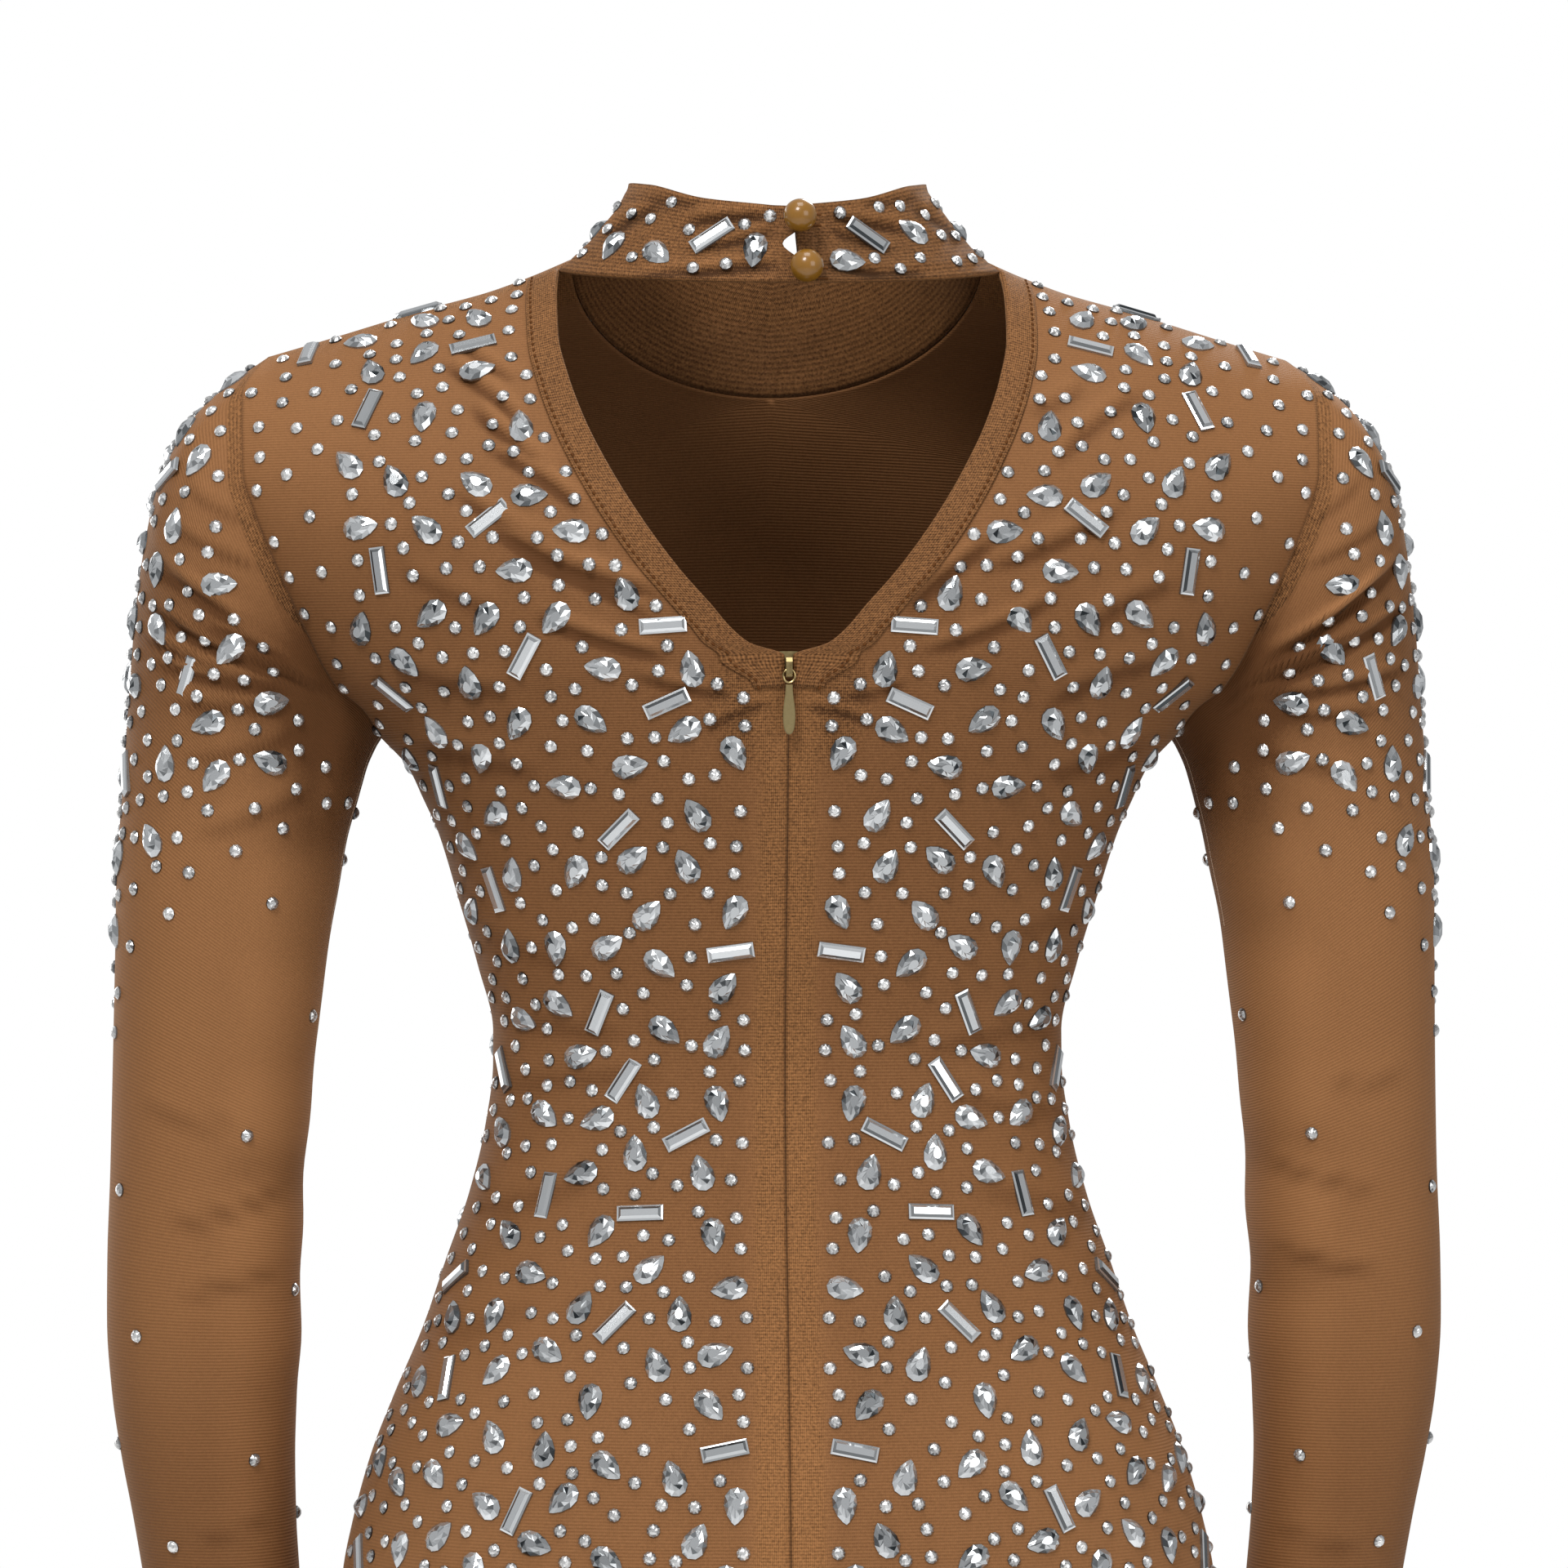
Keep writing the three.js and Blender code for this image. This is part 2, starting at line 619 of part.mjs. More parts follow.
// A point of the collar's top edge at an angle from the side, positive towards the back.
function collarTop(turn) {
  const reach = turn > 0 ? COLLAR_TOP_RADIUS.back : COLLAR_TOP_RADIUS.front;
  const angle = degrees(turn);
  const x = COLLAR_TOP_RADIUS.side * Math.cos(angle);
  const z = along(COLLAR_TOP, 'turn', Math.min(90, turn), 'z');
  return new THREE.Vector3(x, reach * Math.sin(angle), z);
}

// The foot where the collar crosses the keyhole, from the panel's corner to the centre back.
function collarFreeFoot(turn) {
  const oval = (angle) => new THREE.Vector3(
    COLLAR_FOOT_RADIUS.side * Math.cos(degrees(angle)),
    COLLAR_FOOT_RADIUS.back * Math.sin(degrees(angle)),
    0,
  );
  const share = (turn - COLLAR_CORNER_TURN) / (90 - COLLAR_CORNER_TURN);
  const corner = backGrid[LAST_ROW - 1][0];
  const offset = corner.clone().sub(oval(COLLAR_CORNER_TURN)).multiplyScalar(1 - share);
  const foot = oval(turn).add(offset);
  foot.z = mix(KEYHOLE_CORNER_Z, COLLAR_FOOT_Z, Math.sin((Math.PI / 2) * share));
  return foot;
}

// A point of the collar between its foot and its top, on the bowed flare.
function collarPoint(foot, top, share) {
  const point = foot.clone().lerp(top, share);
  const axis = new THREE.Vector3(0, 0, point.z);
  const sideways = Math.abs(point.x) / (Math.abs(point.x) + Math.abs(point.y));
  const bow = COLLAR_HOLLOW * 4 * share * (1 - share) * mix(0.25, 1, sideways);
  return moved(point, towards(point, axis), bow);
}

// One column of the collar beside its end: a level line at the end's own place across.
function collarEnd(share, x) {
  const foot = collarFreeFoot(90);
  const top = collarTop(90);
  const point = collarPoint(foot, top, share);
  const fall = COLLAR_TOP_RADIUS.back * (1 - Math.sqrt(1 - (x / COLLAR_FOOT_RADIUS.side) ** 2));
  return new THREE.Vector3(x, point.y - fall, point.z);
}

function collar() {
  const wall = new Wall(CLOTH);
  const shares = COLLAR_ENDS.map((row) => row.share);
  const columns = [];
  const halfColumns = [...COLLAR_FREE_TURNS].reverse().map((turn) => ({
    foot: collarFreeFoot(turn), top: collarTop(turn), seamed: false,
  }));
  const corner = backGrid[LAST_ROW - 1][0];
  halfColumns.push({ foot: corner, top: collarTop(COLLAR_CORNER_TURN), seamed: true });
  for (let row = LAST_ROW; row >= FAN_START + FAN_ROWS / 2; row -= 1) {
    const foot = frontGrid[row][0].clone();
    if (row === LAST_ROW) foot.y = 0;
    const turn = -90 * (1 - (row - FAN_START - FAN_ROWS / 2) / (FAN_ROWS / 2));
    halfColumns.push({ foot, top: collarTop(turn), seamed: true });
  }
  const build = ({ foot, top, seamed }, sign) => shares.map((share) => {
    const lifted = seamed ? moved(foot, towards(foot, top), GAP * 1.2) : foot;
    const point = collarPoint(lifted, top, share);
    const inward = seamed && share === 0 ? towards(foot, NECK_CENTRE) : null;
    const turned = inward && (sign > 0 ? inward : mirrored(inward));
    return wall.point(sign > 0 ? point : mirrored(point), turned);
  });
  columns.push(COLLAR_ENDS.map(({ share, left }) => wall.point(collarEnd(share, left))));
  halfColumns.forEach((column) => columns.push(build(column, 1)));
  halfColumns.slice(0, -1).reverse().forEach((column) => columns.push(build(column, -1)));
  columns.push(COLLAR_ENDS.map(({ share, right }) => wall.point(collarEnd(share, right))));
  for (let c = 0; c < columns.length - 1; c += 1) {
    for (let r = 0; r < shares.length - 1; r += 1) {
      wall.cell([columns[c][r], columns[c][r + 1], columns[c + 1][r + 1], columns[c + 1][r]]);
    }
  }
  wall.settle();
  return wall.geometry();
}

// ---------------------------------------------------------------- buttons and their loops

// The seat of a button on the collar and the direction that it stands out in.
function buttonSeat({ x, share }) {
  const seat = collarEnd(share, x);
  const rise = collarEnd(share + 0.05, x).sub(collarEnd(share - 0.05, x)).normalize();
  const out = new THREE.Vector3(1, 0, 0).cross(rise).negate().normalize();
  if (out.y < 0) out.negate();
  return { seat, out, rise };
}

// A ball on a short shank, turned about its own axis.
function button() {
  const profile = [new THREE.Vector2(0, 0), new THREE.Vector2(SHANK.radius, 0)];
  const start = Math.asin(SHANK.radius / BUTTON_RADIUS);
  const centre = SHANK.length + BUTTON_RADIUS * Math.cos(start);
  const steps = 9;
  for (let i = 0; i < steps; i += 1) {
    const turn = mix(start, Math.PI, i / steps);
    const radius = BUTTON_RADIUS * Math.sin(turn);
    profile.push(new THREE.Vector2(radius, centre - BUTTON_RADIUS * Math.cos(turn)));
  }
  profile.push(new THREE.Vector2(0, centre + BUTTON_RADIUS));
  return new THREE.LatheGeometry(profile, 18);
}

function placeButton(mesh, spec) {
  const { seat, out } = buttonSeat(spec);
  mesh.position.copy(moved(seat, out, GAP));
  mesh.quaternion.setFromUnitVectors(new THREE.Vector3(0, 1, 0), out);
}

// A thread loop from the collar's right end round the button's shank.
function buttonLoop(spec) {
  const { seat, out, rise } = buttonSeat(spec);
  const bend = SHANK.radius + LOOP_RADIUS + GAP;
  const height = GAP + SHANK.length / 2;
  const route = [
    { x: -8.5, up: bend + 0.2, out: GAP + LOOP_RADIUS + 0.2 },
    { x: -3.5, up: bend, out: height },
    { x: 0, up: bend, out: height },
    { x: bend * 0.75, up: bend * 0.75, out: height },
    { x: bend * 1.05, up: 0, out: height },
    { x: bend * 0.75, up: -bend * 0.75, out: height },
    { x: 0, up: -bend, out: height },
    { x: -3.5, up: -bend, out: height },
    { x: -8.5, up: -bend - 0.2, out: GAP + LOOP_RADIUS + 0.2 },
  ];
  const points = route.map((step) => {
    const point = moved(seat, new THREE.Vector3(1, 0, 0), step.x);
    return point.addScaledVector(rise, step.up).addScaledVector(out, step.out);
  });
  const section = new THREE.Shape(circle(LOOP_RADIUS, 8));
  const extrudePath = new THREE.CatmullRomCurve3(points);
  return new THREE.ExtrudeGeometry(section, { steps: 24, extrudePath });
}

// ---------------------------------------------------------------- zip slider and pull

const pivotY = backGrid[FAN_START + 3][0].y + PIVOT_OUT;

const wasm = await Module();
wasm.setup();

// A three.js geometry as a solid that can be cut or joined.
function solid(geometry) {
  const bare = geometry.clone();
  bare.deleteAttribute('normal');
  bare.deleteAttribute('uv');
  const merged = mergeVertices(bare, 1e-4);
  return new wasm.Manifold(new wasm.Mesh({
    numProp: 3,
    vertProperties: new Float32Array(merged.attributes.position.array),
    triVerts: new Uint32Array(merged.index.array),
  }));
}

function fromSolid(body) {
  const mesh = body.getMesh();
  return geometryFrom(mesh.vertProperties, Array.from(mesh.triVerts));
}

// The slider: a plate inside the tapes and a bridge with an eye outside, in one casting.
function zipSlider() {
  const { width, topZ, footZ, eye, rim } = SLIDER;
  const plateFace = pivotY - PIVOT_OUT - CLOTH - GAP - SLIDER_PLATE.play;
  const outer = pivotY + eye + rim;
  const bridge = new THREE.Shape();
  bridge.moveTo(plateFace - SLIDER_PLATE.thick / 2, footZ);
  bridge.lineTo(outer - 1, footZ);
  bridge.lineTo(outer, footZ + 1);
  bridge.lineTo(outer, topZ - 1.6);
  bridge.lineTo(outer - 1.6, topZ);
  bridge.lineTo(plateFace - SLIDER_PLATE.thick / 2, topZ);
  bridge.holes.push(new THREE.Path(circle(eye, 16).map((p) => {
    return new THREE.Vector2(pivotY + p.x, PIVOT_Z - p.y);
  })));
  const arm = new THREE.ExtrudeGeometry(bridge, {
    depth: width, bevelEnabled: false,
  });
  arm.translate(0, 0, -width / 2);
  arm.applyMatrix4(new THREE.Matrix4().makeBasis(
    new THREE.Vector3(0, 1, 0), new THREE.Vector3(0, 0, 1), new THREE.Vector3(1, 0, 0),
  ));
  const tall = SLIDER_PLATE.topZ - SLIDER_PLATE.footZ;
  const plate = new THREE.BoxGeometry(SLIDER_PLATE.width, SLIDER_PLATE.thick, tall);
  plate.translate(0, plateFace - SLIDER_PLATE.thick / 2, SLIDER_PLATE.topZ - tall / 2);
  return fromSolid(solid(arm).add(solid(plate)));
}

// The wire ring in the slider's eye, drawn about its pivot.
function pullRing() {
  const ring = new THREE.TorusGeometry(1, RING.wire, 8, 20);
  const place = ring.attributes.position;
  for (let i = 0; i < place.count; i += 1) {
    const angle = Math.atan2(place.getY(i), place.getX(i));
    const out = Math.hypot(place.getX(i), place.getY(i)) - 1;
    const x = Math.cos(angle) * (RING.across + out);
    const z = Math.sin(angle) * (RING.down + out) - RING.down;
    place.setXYZ(i, x, place.getZ(i), z);
  }
  ring.scale(1, -1, 1);
  return ring;
}

// The teardrop tab below the ring, drawn about the same pivot.
function pullTab() {
  const top = -(2 * RING.down + RING.wire + GAP);
  const foot = top - TAB.length;
  const half = TAB.widest / 2;
  const belly = foot + TAB.length * 0.36;
  const outline = new THREE.Shape();
  outline.moveTo(TAB.top / 2, top);
  outline.lineTo(-TAB.top / 2, top);
  outline.bezierCurveTo(-TAB.top / 2, top - 5, -half, belly + 5, -half, belly);
  outline.bezierCurveTo(-half, foot + 2, -1.4, foot, 0, foot);
  outline.bezierCurveTo(1.4, foot, half, foot + 2, half, belly);
  outline.bezierCurveTo(half, belly + 5, TAB.top / 2, top - 5, TAB.top / 2, top);
  const bevel = 0.3;
  const tab = new THREE.ExtrudeGeometry(outline, {
    depth: TAB.thick - 2 * bevel, bevelThickness: bevel, bevelSize: bevel,
    bevelOffset: -bevel, bevelSegments: 1, curveSegments: 6,
  });
  tab.translate(0, 0, -TAB.thick / 2 + bevel);
  tab.rotateX(Math.PI / 2);
  return tab;
}

// ---------------------------------------------------------------- assembly

const material = (color, roughness, metalness) => (
  new THREE.MeshStandardMaterial({ color, roughness, metalness })
);

const dress = new THREE.Group();

function addPiece(name, geometry, look, parent = dress) {
  const mesh = new THREE.Mesh(geometry, look);
  mesh.name = name;
  parent.add(mesh);
  return mesh;
}

const mesh = () => material('#7a573c', 0.8, 0);
const doubled = () => material('#6c4a2f', 0.8, 0);
const brass = () => material('#a98d55', 0.3, 1);

addPiece('front', frontPanel().geometry(), mesh());
addPiece('back_left', backLeft.geometry(), mesh());
addPiece('back_right', backPanel(-1).geometry(), mesh());
addPiece('sleeve_left', sleeve(1), mesh());
addPiece('sleeve_right', sleeve(-1), mesh());
addPiece('collar', collar(), doubled());
addPiece('keyhole_binding_left', keyholeBinding(1), doubled());
addPiece('keyhole_binding_right', keyholeBinding(-1), doubled());
addPiece('zip_tape_left', zipTape(1), doubled());
addPiece('zip_tape_right', zipTape(-1), doubled());
addPiece('zip_slider', zipSlider(), brass());

const pull = new THREE.Group();
pull.position.set(0, pivotY, PIVOT_Z);
dress.add(pull);
addPiece('zip_pull_ring', pullRing(), brass(), pull);
addPiece('zip_pull_tab', pullTab(), material('#8a7440', 0.45, 0.2), pull);

for (const spec of BUTTONS) {
  placeButton(addPiece(`button_${spec.name}`, button(), material('#87623a', 0.15, 0)), spec);
  addPiece(`button_loop_${spec.name}`, buttonLoop(spec), doubled());
}

export default dress;
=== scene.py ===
import itertools
import math

import bpy
import numpy as np
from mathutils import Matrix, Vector


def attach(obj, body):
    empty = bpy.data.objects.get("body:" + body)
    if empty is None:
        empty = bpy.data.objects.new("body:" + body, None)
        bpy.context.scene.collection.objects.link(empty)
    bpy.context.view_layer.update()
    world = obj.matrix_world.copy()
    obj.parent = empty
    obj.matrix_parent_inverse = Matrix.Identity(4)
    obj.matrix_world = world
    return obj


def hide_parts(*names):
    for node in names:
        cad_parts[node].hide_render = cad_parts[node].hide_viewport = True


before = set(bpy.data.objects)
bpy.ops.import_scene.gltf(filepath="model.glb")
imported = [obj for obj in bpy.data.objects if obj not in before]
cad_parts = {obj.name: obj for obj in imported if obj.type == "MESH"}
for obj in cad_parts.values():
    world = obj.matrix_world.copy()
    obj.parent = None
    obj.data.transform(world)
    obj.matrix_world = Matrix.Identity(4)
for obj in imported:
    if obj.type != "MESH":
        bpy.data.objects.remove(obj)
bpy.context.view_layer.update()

scene = bpy.context.scene
scene.view_settings.view_transform = "Standard"


def placed(name, data):
    """A new object in the scene, at the origin."""
    thing = bpy.data.objects.new(name, data)
    scene.collection.objects.link(thing)
    return thing


CAMERA_DISTANCE = 2.6
CAMERA_SIDESTEP = math.radians(2.6)  # towards the wearer's left
CAMERA_AIM = Vector((-0.0026, 0.0, -0.205))
PICTURE_HEIGHT = 0.619  # metres seen at the aim
SENSOR = 36.0

camera = placed("camera", bpy.data.cameras.new("camera"))
scene.camera = camera
way = Vector((math.sin(CAMERA_SIDESTEP), math.cos(CAMERA_SIDESTEP), 0.0))
camera.location = CAMERA_AIM + way * CAMERA_DISTANCE
camera.rotation_mode = "QUATERNION"
camera.rotation_quaternion = (-way).to_track_quat("-Z", "Y")
camera.data.sensor_width = SENSOR
camera.data.lens = SENSOR * CAMERA_DISTANCE / PICTURE_HEIGHT

FLOOR_Z = -1.42  # a wearer's shoulders are this far above the ground
FLOOR_HALF = 7.0
corners = [(x * FLOOR_HALF, y * FLOOR_HALF, FLOOR_Z)
           for x, y in ((-1, -1), (1, -1), (1, 1), (-1, 1))]
floor_mesh = bpy.data.meshes.new("floor")
floor_mesh.from_pydata(corners, [], [(0, 1, 2, 3)])
floor = placed("floor", floor_mesh)

LAMPS = [  # name, place, size across, watts
    ("lamp_key", (0.9, 2.1, 1.9), 0.9, 58),
    ("lamp_fill", (-1.9, 2.4, 0.5), 1.6, 24),
    ("lamp_top", (0.0, 0.5, 2.3), 1.2, 24),
    ("lamp_front", (-0.9, -2.3, 1.7), 1.0, 46),
    ("lamp_front_fill", (2.0, -2.2, 0.2), 1.8, 24),
]
for name, place, across, watts in LAMPS:
    lamp = bpy.data.lights.new(name, "AREA")
    lamp.size = across
    lamp.energy = watts
    holder = placed(name, lamp)
    holder.location = place
    holder.rotation_mode = "QUATERNION"
    holder.rotation_quaternion = (CAMERA_AIM - Vector(place)).to_track_quat("-Z", "Y")

SURROUND_LIGHT = 0.5  # what the pale walls give back to the cloth
world = bpy.data.worlds.new("surround")
scene.world = world
world.use_nodes = True
sky = world.node_tree
sky.nodes.clear()
seen = sky.nodes.new("ShaderNodeBackground")
seen.inputs["Color"].default_value = (1, 1, 1, 1)
lit = sky.nodes.new("ShaderNodeBackground")
lit.inputs["Color"].default_value = (0.97, 0.98, 1.0, 1)
lit.inputs["Strength"].default_value = SURROUND_LIGHT
rays = sky.nodes.new("ShaderNodeLightPath")
either = sky.nodes.new("ShaderNodeMixShader")
out = sky.nodes.new("ShaderNodeOutputWorld")
sky.links.new(rays.outputs["Is Camera Ray"], either.inputs["Fac"])
sky.links.new(lit.outputs[0], either.inputs[1])
sky.links.new(seen.outputs[0], either.inputs[2])
sky.links.new(either.outputs[0], out.inputs["Surface"])


class Value:
    """One output of a material's node. Arithmetic on it adds Math nodes."""

    def __init__(self, paint, socket):
        self.paint = paint
        self.socket = socket

    def math(self, operation, *others):
        return self.paint.node("ShaderNodeMath", {"operation": operation}, self, *others)

    def __add__(self, other):
        return self.math("ADD", other)

    def __mul__(self, other):
        return self.math("MULTIPLY", other)

    def __sub__(self, other):
        return self.math("SUBTRACT", other)

    def __rsub__(self, other):
        return self.paint.node("ShaderNodeMath", {"operation": "SUBTRACT"}, other, self)

    __radd__ = __add__
    __rmul__ = __mul__

    def sin(self):
        return self.math("SINE")

    def ramp(self, low, high):
        """0 below low, 1 above high, smooth between."""
        return self.paint.node("ShaderNodeMapRange", {"interpolation_type": "SMOOTHSTEP"},
                               self, low, high, 0.0, 1.0)


class Paint:
    """A material with one Principled shader, made from nodes."""

    def __init__(self, name, **uniform):
        self.material = bpy.data.materials.new(name)
        self.material.use_nodes = True
        self.tree = self.material.node_tree
        self.tree.nodes.clear()
        self.shader = self.tree.nodes.new("ShaderNodeBsdfPrincipled")
        output = self.tree.nodes.new("ShaderNodeOutputMaterial")
        self.tree.links.new(self.shader.outputs[0], output.inputs["Surface"])
        for socket, value in uniform.items():
            self.shader.inputs[socket.replace("_", " ")].default_value = value

    def node(self, kind, settings=None, *values, output=0, **named):
        """Any node: its settings first, then its inputs in order or by name."""
        node = self.tree.nodes.new(kind)
        for key, value in (settings or {}).items():
            setattr(node, key, value)
        inputs = [(node.inputs[i], v) for i, v in enumerate(values)]
        inputs += [(node.inputs[key.replace("_", " ")], v) for key, v in named.items()]
        for socket, value in inputs:
            if isinstance(value, Value):
                self.tree.links.new(value.socket, socket)
            elif value is not None:
                socket.default_value = value
        return Value(self, node.outputs[output])

    def feed(self, **sockets):
        for name, value in sockets.items():
            self.tree.links.new(value.socket, self.shader.inputs[name.replace("_", " ")])

    def mix(self, share, first, second):
        """A colour between two colours."""
        node = self.tree.nodes.new("ShaderNodeMix")
        node.data_type = "RGBA"
        for socket, value in zip((node.inputs[0], node.inputs[6], node.inputs[7]),
                                 (share, first, second)):
            if isinstance(value, Value):
                self.tree.links.new(value.socket, socket)
            elif isinstance(value, tuple):
                socket.default_value = (*value, 1.0)
            else:
                socket.default_value = value
        return Value(self, node.outputs[2])

    def attribute(self, name):
        return self.node("ShaderNodeAttribute", {"attribute_name": name}, output=2)

    def noise(self, scale, detail=3.0, roughness=0.5):
        place = self.node("ShaderNodeTexCoord", output=3)
        return self.node("ShaderNodeTexNoise", None, place, None, scale, detail, roughness)

    def bump(self, height, distance, strength=1.0):
        return self.node("ShaderNodeBump", None, strength, distance, None, height)


floor_paint = Paint("pale_floor", Roughness=0.7)
mottle = floor_paint.noise(3.0)
floor_paint.feed(Base_Color=floor_paint.mix(mottle, (0.83, 0.83, 0.83), (0.87, 0.87, 0.87)))
floor_mesh.materials.append(floor_paint.material)

# ------------------------------------------------------------------------------------------
# The two back panels: one layer of fine ribbed stretch mesh each, cut to the centre back, the
# keyhole's edge, the shoulder, the armhole and the side. Sewn to each other and to the front
# by narrow overlocked seams, which show through as a denser edge.
# ------------------------------------------------------------------------------------------
MM = 0.001
CLOTH = 1.5 * MM
TRIM = 1.0 * MM
GAP = 0.3 * MM
HEM_Z = -900  # heights and tables are in millimetres, as they are cut
UNDERARM_Z = -187
SHOULDER_X, SHOULDER_Z = 200, -37
NECK_X, NECK_Z = 81.6, 1.6
PIT_Z = -48
KEYHOLE_TIP_Z = -156
ARMHOLE_DEPTH = {"back": 50, "front": 46}
SECTION_POWER = {"back": 2.4, "front": 2.2}
SHOULDER_POWER = 5
FAN = 12  # steps from the underarm to the shoulder
TRUNK_STEP, UNDERARM_STEP = 10, 25  # steps from the hem to the trunk and to the underarm
TIP_CLIMB = 3  # fan steps from the underarm's height to the keyhole's tip

SIDES = [  # height, half width at the side seams
    (-900, 150), (-800, 158), (-700, 166), (-600, 172.5), (-545, 173.5), (-514, 171.1),
    (-495, 167.4), (-469, 160.3), (-444, 150.6), (-418, 139.5), (-392, 130.6), (-366, 121.6),
    (-340, 115.3), (-314, 112), (-302, 112), (-276, 118.2), (-250, 125.8), (-224, 133.7),
    (-211, 139.5), (-198, 145.8), (-187, 156),
]
DEPTHS = [  # height, depth behind and in front of the side seams
    (-900, 84, 91), (-800, 87, 93), (-700, 93, 97), (-600, 110, 102), (-530, 118, 107),
    (-480, 112, 110), (-420, 94, 112), (-360, 73, 107), (-314, 66, 101), (-260, 77, 117),
    (-210, 89, 138), (-187, 94, 136), (-150, 98, 120), (-112, 97, 103), (-80, 90, 88),
    (-48, 80, 72), (-20, 68, 62), (2, 58, 55),
]
ARMHOLE = [  # share of the armhole's height, its seam's place across, behind and in front
    (0, 156, 156), (0.073, 163, 162), (0.133, 173.5, 170), (0.293, 186, 180),
    (0.427, 195, 187), (0.573, 204, 194), (0.687, 209, 200), (0.88, 209.5, 205), (1, 200, 200),
]
SHOULDER = [  # place across, height of the shoulder seam
    (81.6, 1.6), (96.3, -4.8), (113.7, -11.3), (136.5, -17.7), (178.5, -30.6), (200, -37),
]
KEYHOLE = [  # height, the keyhole's edge, the width under its binding or the zip's tape
    (-900, 0.15, 12), (-178, 0.15, 12), (-166.3, 1.5, 12.5), (-156, 1.8, 25), (-151.3, 15, 18),
    (-145, 22.5, 15.7), (-137.5, 28.8, 16.1), (-123.5, 41.2, 15.8), (-104, 55.6, 15),
    (-84, 67.8, 14), (-65.5, 77, 13), (-48, 83.2, 12.4), (-31, 87, 12), (-14, 87.6, 12),
    (-3.1, 86.6, 12), (1.6, 81.6, 12),
]


def curve(table, at, column=1):
    """A smooth curve through one column of a table, which never overshoots its rows."""
    rows = np.array(sorted(table), float)
    xs, ys = rows[:, 0], rows[:, column]
    at = np.clip(np.asarray(at, float), xs[0], xs[-1])
    chord = np.diff(ys) / np.diff(xs)
    before, after = chord[:-1], chord[1:]
    same = before * after > 0
    mean = np.where(same, 2 * before * after / np.where(same, before + after, 1), 0)
    slope = np.concatenate([chord[:1], mean, chord[-1:]])
    i = np.clip(np.searchsorted(xs, at, side="right") - 1, 0, len(xs) - 2)
    step = xs[i + 1] - xs[i]
    t = (at - xs[i]) / step
    bend = slope[i] * step * t * (1 - t) ** 2 - slope[i + 1] * step * t ** 2 * (1 - t)
    return ys[i] + (ys[i + 1] - ys[i]) * t * t * (3 - 2 * t) + bend


def mix(a, b, t):
    return a + (b - a) * t


def smooth(t):
    t = np.clip(t, 0, 1)
    return t * t * (3 - 2 * t)


def unit(vectors):
    return vectors / np.maximum(np.linalg.norm(vectors, axis=-1, keepdims=True), 1e-12)


def fan_share(climb):
    """The share of the armhole's height that a step of the fan has climbed."""
    return (1 - math.cos(math.pi * climb / FAN)) / 2


def middle_edge(side, climb):
    """Height and place across of a fan step's inner end: the keyhole's or neckline's edge."""
    if side == "back":
        if climb <= TIP_CLIMB:
            z = mix(UNDERARM_Z, KEYHOLE_TIP_Z, climb / TIP_CLIMB)
        else:
            turn = math.pi * (climb - TIP_CLIMB) / (FAN - TIP_CLIMB)
            z = mix(KEYHOLE_TIP_Z, NECK_Z, (1 - math.cos(turn)) / 2)
        return z, float(curve(KEYHOLE, z))
    if climb <= FAN / 2:
        return mix(UNDERARM_Z, PIT_Z, climb / (FAN / 2)), 0.0
    turn = (climb / (FAN / 2) - 1) * math.pi / 2
    return NECK_Z - (NECK_Z - PIT_Z) * math.cos(turn), NECK_X * math.sin(turn)


def panel_row(side, climb=None, height=None):
    """One row of a half panel: its inner edge, its side edge and a function that places it."""
    power = SECTION_POWER[side]
    column = 1 if side == "back" else 2
    sign = 1 if side == "back" else -1
    share = 0.0 if climb is None else fan_share(climb)
    if climb is None:
        middle_z, side_z, side_x = height, height, float(curve(SIDES, height))
        edge = float(curve(KEYHOLE, height)) if side == "back" else 0.0
    else:
        middle_z, edge = middle_edge(side, climb)
        side_z = mix(UNDERARM_Z, SHOULDER_Z, share)
        side_x = float(curve(ARMHOLE, share, column))
    if side == "back":  # sewn edges meet
        edge = edge - GAP / MM / 2 * float(smooth((-140 - middle_z) / 20))
    rounding = math.sqrt(max(0.0, 1 - share ** SHOULDER_POWER))
    edge_depth = ARMHOLE_DEPTH[side] * math.sin(math.acos(2 * share - 1))
    depth_there = float(curve(DEPTHS, side_z, column)) * rounding
    reach = min(0.9, edge_depth / depth_there) if depth_there > 1e-6 else 0.0
    full = side_x / (1 - reach ** power) ** (1 / power)

    def place(x):
        x = np.asarray(x, float)
        straight = mix(NECK_Z, SHOULDER_Z, (x - NECK_X) / (SHOULDER_X - NECK_X))
        bow = np.where(x > NECK_X, (curve(SHOULDER, x) - straight) * share ** 6, 0)
        z = mix(middle_z, side_z, (x - edge) / (side_x - edge)) + bow
        y = curve(DEPTHS, z, column) * rounding
        y = y * np.maximum(0, 1 - (x / full) ** power) ** (1 / power)
        return np.stack([x * MM, sign * y * MM, z * MM], axis=-1)

    band = float(curve(KEYHOLE, middle_z, 2)) if side == "back" else 0.0
    return edge, band, side_x, full, power, place


def evenly(walk, count):
    """Points evenly spaced along a finely stepped line."""
    lengths = np.concatenate([[0], np.cumsum(np.linalg.norm(np.diff(walk, axis=0), axis=1))])
    goals = np.linspace(0, lengths[-1], count + 1)
    return np.stack([np.interp(goals, lengths, walk[:, k]) for k in range(3)], axis=1)


SKIRT_CELLS, TRUNK_CELLS, FAN_CELLS = 48, 136, 96
TRUNK_Z = -540
BAND_CELLS = 6
PANEL_CELLS = 76
FINE = 240  # points on a row before they are spaced evenly


